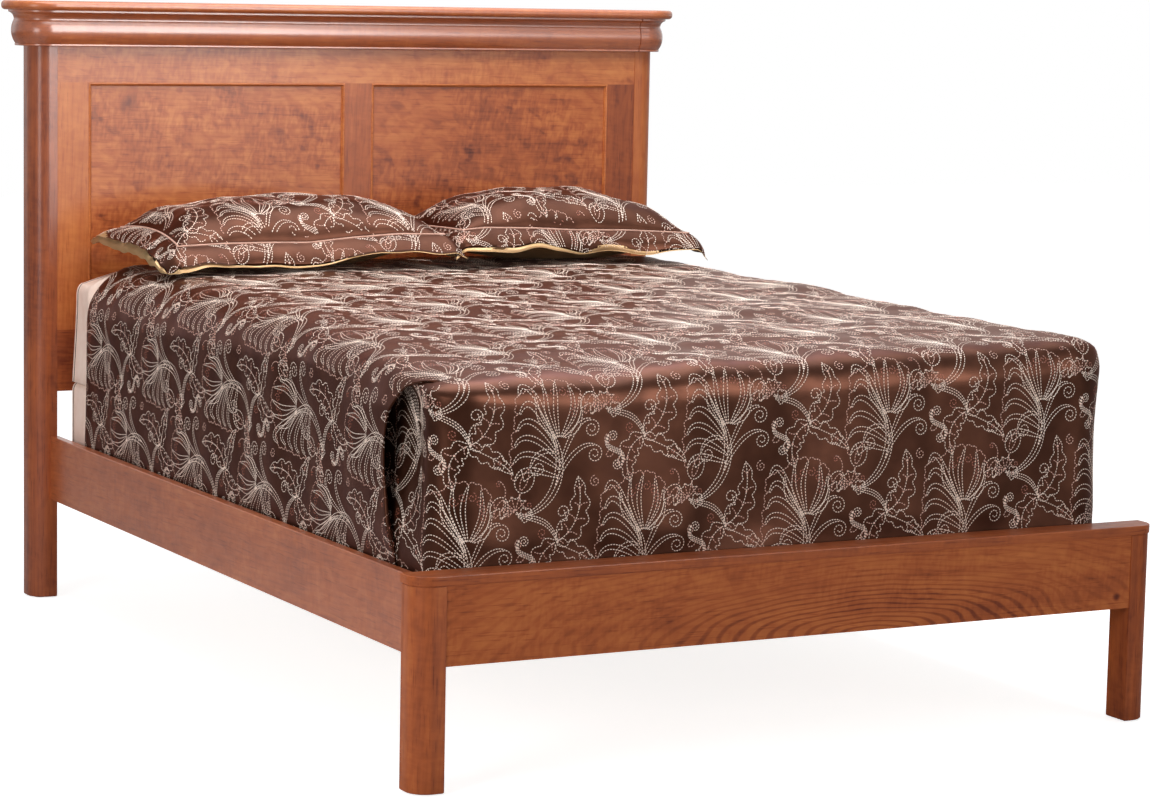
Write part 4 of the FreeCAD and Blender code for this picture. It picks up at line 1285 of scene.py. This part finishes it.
# %% Leafy spray
def lobed_leaf(spine, width, lobes, veins=True):
    """A leaf along a spine, with rounded lobes and side veins."""
    t = np.linspace(0, 1, len(spine))
    lines = [(spine, CREAM)]
    for side in (-1, 1):
        swell = np.sin(np.pi * (0.03 + 0.97 * t) ** 0.8) ** 0.7
        swell = swell * (0.62 + 0.5 * np.abs(np.sin(np.pi * lobes * t)))
        edge = beside(spine, side * width * swell)
        lines.append((edge, CREAM))
        if veins:
            for share in (np.arange(lobes) + 0.55) / lobes:
                at = int(share * (len(spine) - 1))
                root, end = spine[max(at - 5, 0)], spine[at] + 0.72 * (edge[at] - spine[at])
                lines.append((bend(root, spine[at], end, end, count=9), TAN))
    return lines


def spray():
    """Three lobed leaves, a shell and two curls on one stem."""
    high = bend((0.0, 0.0), (0.040, 0.004), (0.064, 0.044), (0.060, 0.098), count=60)
    left_leaf = bend((0.0, 0.0), (-0.034, -0.006), (-0.048, -0.034), (-0.038, -0.068), count=48)
    right_leaf = bend((0.0, 0.0), (0.020, -0.020), (0.048, -0.030), (0.070, -0.066), count=44)
    lines = lobed_leaf(high, 0.021, 5)
    lines += lobed_leaf(left_leaf, 0.019, 4)
    lines += lobed_leaf(right_leaf, 0.014, 4, False)
    stem = bend((0.004, -0.004), (-0.004, 0.052), (-0.040, 0.046), (-0.062, 0.068), count=30)
    lines += stroke(stem, 0.0085, 3)
    heart = complex(-0.062, 0.070)
    tips = [heart + (0.026 + 0.004 * (k % 2)) * np.exp(1j * math.radians(30 + 32 * k)) for k in range(6)]
    for tip in tips:
        lines.append((np.linspace(heart, tip, 8), TAN))
    lines.append((scallops(tips, -0.42), CREAM))
    lines.append((curl((0.022, 0.046), 0.0135, 1.6, 250), CREAM))
    lines.append((bend((0.002, 0.006), (0.004, 0.020), (0.008, 0.028), (0.017, 0.033), count=12), CREAM))
    lines.append((curl((-0.022, 0.022), 0.0095, 1.4, -60, -1), ROSE))
    return lines


print("lines in the spray:", len(spray()))


# %% Bud, flower and scroll
def bud():
    """A three-petalled bud on a short stem."""
    lines = []
    for side in (-1, 1):
        hip, waist = (0.020 * side, 0.004), (0.022 * side, 0.028)
        tip = (0.013 * side, 0.040)
        lines.append((bend((0, 0), hip, waist, tip), CREAM))
        inner = bend(tip, (0.006 * side, 0.030), (0.003 * side, 0.026), (0, 0.022), count=12)
        lines.append((inner, CREAM))
        middle = bend((0, 0.004), (0.009 * side, 0.014), (0.008 * side, 0.030), (0, 0.046), count=16)
        lines.append((middle, TAN))
    lines.append((bend((0, 0), (0.002, -0.014), (0.014, -0.022), (0.024, -0.022), count=14), TAN))
    lines.append((curl((0.024, -0.0155), 0.0065, 1.2, -90), ROSE))
    return lines


def small_flower():
    """Five round petals with an eye."""
    angle = np.linspace(0, 2 * math.pi, 46)
    rim = (0.0105 + 0.0060 * np.abs(np.sin(2.5 * angle))) * np.exp(1j * angle)
    eye = 0.0042 * np.exp(1j * np.linspace(0, 2 * math.pi, 9))
    return [(rim, CREAM), (eye, ROSE)]


def scroll():
    """An S-shaped scroll with a thick middle, three leaflets and a curl at each end."""
    body = bend((-0.030, -0.040), (0.040, -0.040), (-0.040, 0.040), (0.030, 0.040), count=36)
    lines = stroke(body, 0.0120, 4)
    lines.append((curl((0.030, 0.025), 0.0150, 1.8, 90, -1), CREAM))
    lines.append((curl((-0.030, -0.025), 0.0150, 1.8, -90, -1), CREAM))
    for at, turn in ((9, 200), (18, 150), (27, 30)):
        root = body[at]
        tip = root + 0.032 * np.exp(1j * math.radians(turn))
        for side in (-1, 1):
            belly = (root + tip) / 2 + side * 0.012 * np.exp(1j * math.radians(turn + 90))
            lines.append((bend(root, belly, belly, tip, count=14), TAN))
    return lines


print("lines in a bud, a flower and a scroll:", len(bud()), len(small_flower()), len(scroll()))


# %% One repeat of the drawing
REPEAT_ACROSS, REPEAT_DOWN = 0.37, 0.38
HALF_DROP = complex(REPEAT_ACROSS / 2, -REPEAT_DOWN / 2)


def placed(lines, place, turn=0.0, size=1.0):
    """A motif moved to its place on the cloth."""
    spin = size * np.exp(1j * math.radians(turn))
    return [(line * spin + spot(place), thread) for line, thread in lines]


drawing = []
for shift in (0j, HALF_DROP):
    part = placed(plume(), (-0.002, 0.004), 0, 1.16)
    part += placed(spray(), (0.004, -0.190), 12, 1.14)
    part += placed(bud(), (0.112, 0.098), -20, 1.05)
    part += placed(bud(), (-0.104, -0.100), 150, 1.0)
    part += placed(scroll(), (0.126, -0.022), 60, 0.70)
    part += placed(small_flower(), (-0.116, -0.034), 40, 0.9)
    part += placed(small_flower(), (0.124, 0.056), 10, 0.9)
    part.append((curl((0.086, 0.064), 0.0105, 1.5, -90), TAN))
    part.append((curl((0.084, -0.078), 0.0115, 1.5, 90), TAN))
    drawing += [(line + shift, thread) for line, thread in part]


def stitched(lines, pitch=0.0060, length=0.0037):
    """Cut lines into stitches: their two ends, and their thread."""
    starts, ends, threads = [], [], []
    for line, thread in lines:
        walk = np.concatenate([[0], np.cumsum(np.abs(np.diff(line)))])
        at = np.arange(0.3 * pitch, walk[-1] - 0.5 * length, pitch)
        if len(at) == 0:
            continue
        for store, offset in ((starts, 0), (ends, length)):
            x, y = (np.interp(at + offset, walk, part) for part in (line.real, line.imag))
            store.append(x + 1j * y)
        threads.append(np.full(len(at), thread))
    return np.concatenate(starts), np.concatenate(ends), np.concatenate(threads)


stitches = stitched(drawing)
print("stitches in one repeat:", len(stitches[0]))

# %% [markdown]
# ## Stitches on the draped cloth
# A stitch is laid where its two ends fall on the draped cloth, so the drawing bends over edges and
# into the pleats as real embroidery does. The flat copy of the cloth is searched with a ray, which
# is quick. Geometry Nodes then put one small thread on every point, turned along its stitch.


# %% From flat to draped
def flat_copy(draped_patches):
    """A search tree over the flat cloth, with the draped corners of its triangles."""
    flat_points, points, normals, faces, count = [], [], [], [], 0
    for draped_points, draped_normals, flat in draped_patches:
        rows, columns = flat.shape[:2]
        quads = grid_faces(rows, columns, count)
        faces.append(np.concatenate([quads[:, [0, 1, 2]], quads[:, [0, 2, 3]]]))
        flat_points.append(np.concatenate([flat, np.zeros((rows, columns, 1))], -1).reshape(-1, 3))
        points.append(draped_points.reshape(-1, 3))
        normals.append(draped_normals.reshape(-1, 3))
        count += rows * columns
    flat_points, points, normals = map(np.concatenate, (flat_points, points, normals))
    faces = np.concatenate(faces)
    a, b, c = (flat_points[faces[:, i]] for i in range(3))
    size = np.abs(np.cross(b - a, c - a)[:, 2])
    faces = faces[size > 1e-8]  # a triangle without area has no places in it
    tree = BVHTree.FromPolygons(flat_points.tolist(), faces.tolist(), all_triangles=True)
    return tree, flat_points, points, normals, faces


def carry(copy, places):
    """Carry flat places to the draped cloth: points, normals, and which places lie on the cloth."""
    tree, flat_points, points, normals, faces = copy
    down = Vector((0, 0, -1))
    hits = [tree.ray_cast(Vector((p.real, p.imag, 1.0)), down)[2] for p in places]
    hits = np.array([-1 if hit is None else hit for hit in hits])
    found = hits >= 0
    triangle = faces[np.maximum(hits, 0)]
    a, b, c = (flat_points[triangle[:, i], :2] for i in range(3))
    p = np.stack([places.real, places.imag], -1)
    whole = (b - a)[:, 0] * (c - a)[:, 1] - (b - a)[:, 1] * (c - a)[:, 0]
    share_b = ((p - a)[:, 0] * (c - a)[:, 1] - (p - a)[:, 1] * (c - a)[:, 0]) / whole
    share_c = ((b - a)[:, 0] * (p - a)[:, 1] - (b - a)[:, 1] * (p - a)[:, 0]) / whole
    shares = np.stack([1 - share_b - share_c, share_b, share_c], -1)[..., None]
    return (points[triangle] * shares).sum(1), (normals[triangle] * shares).sum(1), found


REACH = 0.4  # no motif reaches further from its place
SHORTEST, LONGEST = 0.0015, 0.0056  # stitches outside this are left out: the cloth folds there


def lay_stitches(copy, low, high, shift):
    """All stitches of the repeating drawing inside a flat rectangle, as they lie on the cloth.

    low and high are the rectangle's corners, and shift moves the whole drawing.
    """
    starts, ends, threads = [], [], []
    low_reach, high_reach = low - complex(REACH, REACH) - shift, high + complex(REACH, REACH) - shift
    first_x, last_x = (math.floor(v.real / REPEAT_ACROSS) for v in (low_reach, high_reach))
    first_y, last_y = (math.floor(v.imag / REPEAT_DOWN) for v in (low_reach, high_reach))
    for i in range(first_x, last_x + 1):
        for j in range(first_y, last_y + 1):
            move_by = complex(i * REPEAT_ACROSS, j * REPEAT_DOWN) + shift
            a, b = stitches[0] + move_by, stitches[1] + move_by
            near = (a.real > low.real) & (a.real < high.real) & (a.imag > low.imag) & (a.imag < high.imag)
            starts.append(a[near])
            ends.append(b[near])
            threads.append(stitches[2][near])
    starts, ends, threads = map(np.concatenate, (starts, ends, threads))
    a, normal, on_cloth = carry(copy, starts)
    b, _, ends_on = carry(copy, ends)
    span = np.linalg.norm(b - a, axis=1)
    keep = on_cloth & ends_on & (span > SHORTEST) & (span < LONGEST)
    a, b, normal, threads, span = a[keep], b[keep], normal[keep], threads[keep], span[keep]
    return (a + b) / 2, b - a, normal, threads, span


COVER_LOW, COVER_HIGH = complex(-1.35, -0.55), complex(1.35, 1.87)  # just past its flat hems
cover_copy = flat_copy(draped)
cover_stitches = lay_stitches(cover_copy, COVER_LOW, COVER_HIGH, shift=0.03 + 0.02j)
print("stitches on the coverlet:", len(cover_stitches[0]))


# %% One thread for every stitch
THREAD_WIDTH, THREAD_HEIGHT = 0.0017, 0.0004


def stitch_tree():
    """Geometry Nodes that put a small ridged thread on each point."""
    tree = bpy.data.node_groups.new("lay_threads", "GeometryNodeTree")
    for name, kind, way in (
        ("Geometry", "NodeSocketGeometry", "INPUT"),
        ("Thread Width", "NodeSocketFloat", "INPUT"),
        ("Thread Height", "NodeSocketFloat", "INPUT"),
        ("Thread", "NodeSocketMaterial", "INPUT"),
        ("Geometry", "NodeSocketGeometry", "OUTPUT"),
    ):
        tree.interface.new_socket(name, in_out=way, socket_type=kind)
    given = add(tree, "NodeGroupInput")
    strip = {"Size X": 1.0, "Size Y": 1.0, "Vertices X": 2, "Vertices Y": 3}
    strip = add(tree, "GeometryNodeMeshGrid", strip).outputs["Mesh"]
    place = add(tree, "GeometryNodeInputPosition").outputs[0]
    apart = add(tree, "ShaderNodeSeparateXYZ", {0: place})
    off = add(tree, "ShaderNodeMath", {0: apart.outputs["Y"]}, operation="ABSOLUTE").outputs[0]
    height = add(tree, "ShaderNodeMath", {0: 0.5, 1: off}, operation="SUBTRACT").outputs[0]
    for times in (given.outputs["Thread Height"], 2.0):
        height = add(tree, "ShaderNodeMath", {0: height, 1: times}, operation="MULTIPLY").outputs[0]
    wide = {0: apart.outputs["Y"], 1: given.outputs["Thread Width"]}
    wide = add(tree, "ShaderNodeMath", wide, operation="MULTIPLY").outputs[0]
    ridge = {"X": apart.outputs["X"], "Y": wide, "Z": height}
    ridge = add(tree, "ShaderNodeCombineXYZ", ridge).outputs[0]
    thread = add(tree, "GeometryNodeSetPosition", {"Geometry": strip, "Position": ridge}).outputs[0]
    ahead, upward = (
        add(tree, "GeometryNodeInputNamedAttribute", {"Name": name}, data_type="FLOAT_VECTOR").outputs[0]
        for name in ("ahead", "upward")
    )
    long = add(tree, "GeometryNodeInputNamedAttribute", {"Name": "long"}, data_type="FLOAT").outputs[0]
    turned = add(tree, "FunctionNodeAlignRotationToVector", {"Vector": ahead}, axis="X").outputs[0]
    turned = {"Rotation": turned, "Vector": upward}
    turned = add(tree, "FunctionNodeAlignRotationToVector", turned, axis="Z", pivot_axis="X").outputs[0]
    size = add(tree, "ShaderNodeCombineXYZ", {"X": long, "Y": 1.0, "Z": 1.0}).outputs[0]
    points = add(tree, "GeometryNodeMeshToPoints", {"Mesh": given.outputs["Geometry"]}).outputs[0]
    copies = {"Points": points, "Instance": thread, "Rotation": turned, "Scale": size}
    copies = add(tree, "GeometryNodeInstanceOnPoints", copies).outputs[0]
    real = add(tree, "GeometryNodeRealizeInstances", {"Geometry": copies}).outputs[0]
    dyed = {"Geometry": real, "Material": given.outputs["Thread"]}
    dyed = add(tree, "GeometryNodeSetMaterial", dyed).outputs[0]
    add(tree, "NodeGroupOutput", {"Geometry": dyed})
    return tree


LAY_THREADS = stitch_tree()
print("nodes that lay the threads:", len(LAY_THREADS.nodes))

# %% Embroidering one piece
CLEAR = 0.0001  # of the threads, above the cloth


def embroider(name, laid, keep, material, body):
    """A mesh of threads from the stitches that keep picks out."""
    middle, ahead, upward, thread, long = (values[keep] for values in laid)
    mesh = bpy.data.meshes.new(name)
    mesh.from_pydata((middle + upward * CLEAR).tolist(), [], [])
    for title, values, kind, field in (
        ("ahead", ahead, "FLOAT_VECTOR", "vector"),
        ("upward", upward, "FLOAT_VECTOR", "vector"),
        ("long", long, "FLOAT", "value"),
        ("dye", thread, "FLOAT", "value"),
    ):
        data = mesh.attributes.new(title, kind, "POINT").data
        data.foreach_set(field, np.ascontiguousarray(values.reshape(-1)))
    points = bpy.data.objects.new(name + "_points", mesh)
    bpy.context.scene.collection.objects.link(points)
    modifier = points.modifiers.new("threads", "NODES")
    modifier.node_group = LAY_THREADS
    inputs = [item for item in LAY_THREADS.interface.items_tree if item.in_out == "INPUT"]
    sockets = {item.name: item.identifier for item in inputs}
    modifier[sockets["Thread Width"]] = THREAD_WIDTH
    modifier[sockets["Thread Height"]] = THREAD_HEIGHT
    modifier[sockets["Thread"]] = material
    graph = bpy.context.evaluated_depsgraph_get()
    made = bpy.data.meshes.new_from_object(points.evaluated_get(graph))
    bpy.data.objects.remove(points)
    for title in ("ahead", "upward", "long"):
        if title in made.attributes:
            made.attributes.remove(made.attributes[title])
    piece = bpy.data.objects.new(name, made)
    made.name = name
    bpy.context.scene.collection.objects.link(piece)
    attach(piece, body)
    print(name, "stitches:", len(middle), "triangles:", 2 * len(made.polygons))


# %% Embroider the coverlet
# rayon is bright and a little glossy, so the stitches stand out pale and crisp on the brown
rayon, tree, out = new_material("rayon_thread_twisted")
dye = add(tree, "ShaderNodeAttribute", attribute_name="dye").outputs["Fac"]
shades = [(CREAM, "#FBE6D6"), (TAN, "#DFB3A2"), (ROSE, "#A4604C")]
colour = add(tree, "ShaderNodeValToRGB", {"Fac": dye}, shades).outputs["Color"]
thread = {"Base Color": colour, "Roughness": 0.42, "IOR": 1.5, "Specular IOR Level": 0.4}
thread = add(tree, "ShaderNodeBsdfPrincipled", thread)
tree.links.new(thread.outputs["BSDF"], out.inputs["Surface"])

x, y, _ = cover_stitches[0].T
normal_z = cover_stitches[2][:, 2]
# the top is what faces up, as far as the rounding at the foot
on_top = (normal_z > 0.6) & (y > FOOT_FACE + 0.05)
areas = {
    "embroidery_top_left": on_top & (x < 0),
    "embroidery_top_right": on_top & (x >= 0),
    "embroidery_foot": ~on_top & (y < FOOT_FACE + FOOT_ROUND),
    "embroidery_left": ~on_top & (y >= FOOT_FACE + FOOT_ROUND) & (x < 0),
    "embroidery_right": ~on_top & (y >= FOOT_FACE + FOOT_ROUND) & (x >= 0),
}
for name, keep in areas.items():
    embroider(name, cover_stitches, keep, rayon, "mattress")
print("stitches that fell on no area:", int((~np.any(list(areas.values()), axis=0)).sum()))

# %% Embroider the shams
SHAM_REACH = complex(0.42, 0.28)  # from a sham's middle, past its hem
for name, shapes, body, shift in (
    ("embroidery_sham_left", left_shapes, "pillow_left", 0.06 + 0.04j),
    ("embroidery_sham_right", right_shapes, "pillow_right", -0.05 + 0.10j),
):
    upper, _, flat, _ = shapes
    run_x, run_y = np.gradient(upper, axis=0), np.gradient(upper, axis=1)
    facing = np.cross(run_x, run_y)
    facing /= np.linalg.norm(facing, axis=-1)[..., None]
    sham_copy = flat_copy([(upper, facing, flat)])
    sham_stitches = lay_stitches(sham_copy, -SHAM_REACH, SHAM_REACH, shift)
    embroider(name, sham_stitches, np.ones(len(sham_stitches[0]), bool), rayon, body)
    print(name, "is laid on a face of", len(sham_copy[4]), "triangles")

# %% [markdown]
# ## The room
# A pale floor takes the bed's shadow, and the white world shows round it. Big soft lamps stand
# overhead, to the left and in front. Two white cards, one overhead and one in front, show only in
# reflections: they give the satin and the crown their pale bands and light nothing else.

# %% Floor
FLOOR_GLOW = 0.80  # lifts the floor to white for the camera, and lights nothing
floor_mesh = bpy.data.meshes.new("floor")
floor_corners = [(-15, -15, 0), (15, -15, 0), (15, 15, 0), (-15, 15, 0)]
floor_mesh.from_pydata(floor_corners, [], [(0, 1, 2, 3)])
floor = bpy.data.objects.new("floor", floor_mesh)
bpy.context.scene.collection.objects.link(floor)
paper, tree, out = new_material("matte_white_paper")
seen = add(tree, "ShaderNodeLightPath").outputs["Is Camera Ray"]
lift = add(tree, "ShaderNodeMath", {0: seen, 1: FLOOR_GLOW}, operation="MULTIPLY").outputs[0]
matte = add(tree, "ShaderNodeBsdfDiffuse", {"Color": linear("#E6E6E6")}).outputs["BSDF"]
glow = add(tree, "ShaderNodeEmission", {"Color": (1, 1, 1, 1), "Strength": lift}).outputs["Emission"]
both = add(tree, "ShaderNodeAddShader", {0: matte, 1: glow}).outputs["Shader"]
tree.links.new(both, out.inputs["Surface"])
wear(floor, paper)
print("floor:", paper.name)

# %% World
WORLD_LIGHT = 0.27  # what the world gives to the bed; rays that see it find plain white
world = bpy.data.worlds.new("white_room")
bpy.context.scene.world = world
world.use_nodes = True
sky = world.node_tree
sky.nodes.clear()
path = add(sky, "ShaderNodeLightPath")
straight = path.outputs["Is Camera Ray"]
for ray in ("Is Glossy Ray", "Is Transmission Ray"):
    either = {0: straight, 1: path.outputs[ray]}
    straight = add(sky, "ShaderNodeMath", either, operation="MAXIMUM").outputs[0]
strength = {"Value": straight, "To Min": WORLD_LIGHT, "To Max": 1.0}
strength = add(sky, "ShaderNodeMapRange", strength).outputs["Result"]
shine = {"Color": (1, 1, 1, 1), "Strength": strength}
shine = add(sky, "ShaderNodeBackground", shine).outputs["Background"]
add(sky, "ShaderNodeOutputWorld", {"Surface": shine})
print("world light:", WORLD_LIGHT)


# %% Lamps and cards
def soft_lamp(name, place, target, size, watts, gloss_only=False):
    """A rectangular area lamp at place, facing target."""
    lamp = bpy.data.objects.new(name, bpy.data.lights.new(name, "AREA"))
    lamp.data.shape = "RECTANGLE"
    lamp.data.size, lamp.data.size_y = size
    lamp.data.energy = watts
    lamp.location = place
    lamp.rotation_euler = (Vector(target) - Vector(place)).to_track_quat("-Z", "Y").to_euler()
    lamp.visible_camera = False
    lamp.visible_diffuse = not gloss_only
    bpy.context.scene.collection.objects.link(lamp)
    print(name, "%.0f W" % watts)


soft_lamp("overhead", (-0.2, 0.05, 2.85), (-0.2, 0.25, 0.0), (2.4, 1.9), 68)
soft_lamp("left_window", (-4.4, -2.6, 1.45), (-0.2, 0, 0.8), (1.6, 1.9), 70)
soft_lamp("front_box", (2.9, -5.6, 2.0), (0.3, 0, 1.2), (3.4, 1.3), 46)
soft_lamp("ceiling_card", (0.5, 0.2, 3.4), (0.0, 0.1, 0.8), (2.8, 3.6), 120, gloss_only=True)
soft_lamp("front_card", (1.8, -5.6, 2.9), (0.0, 1.0, 1.3), (2.2, 4.6), 460, gloss_only=True)

# %% Finish
bpy.context.scene.view_settings.view_transform = "Standard"
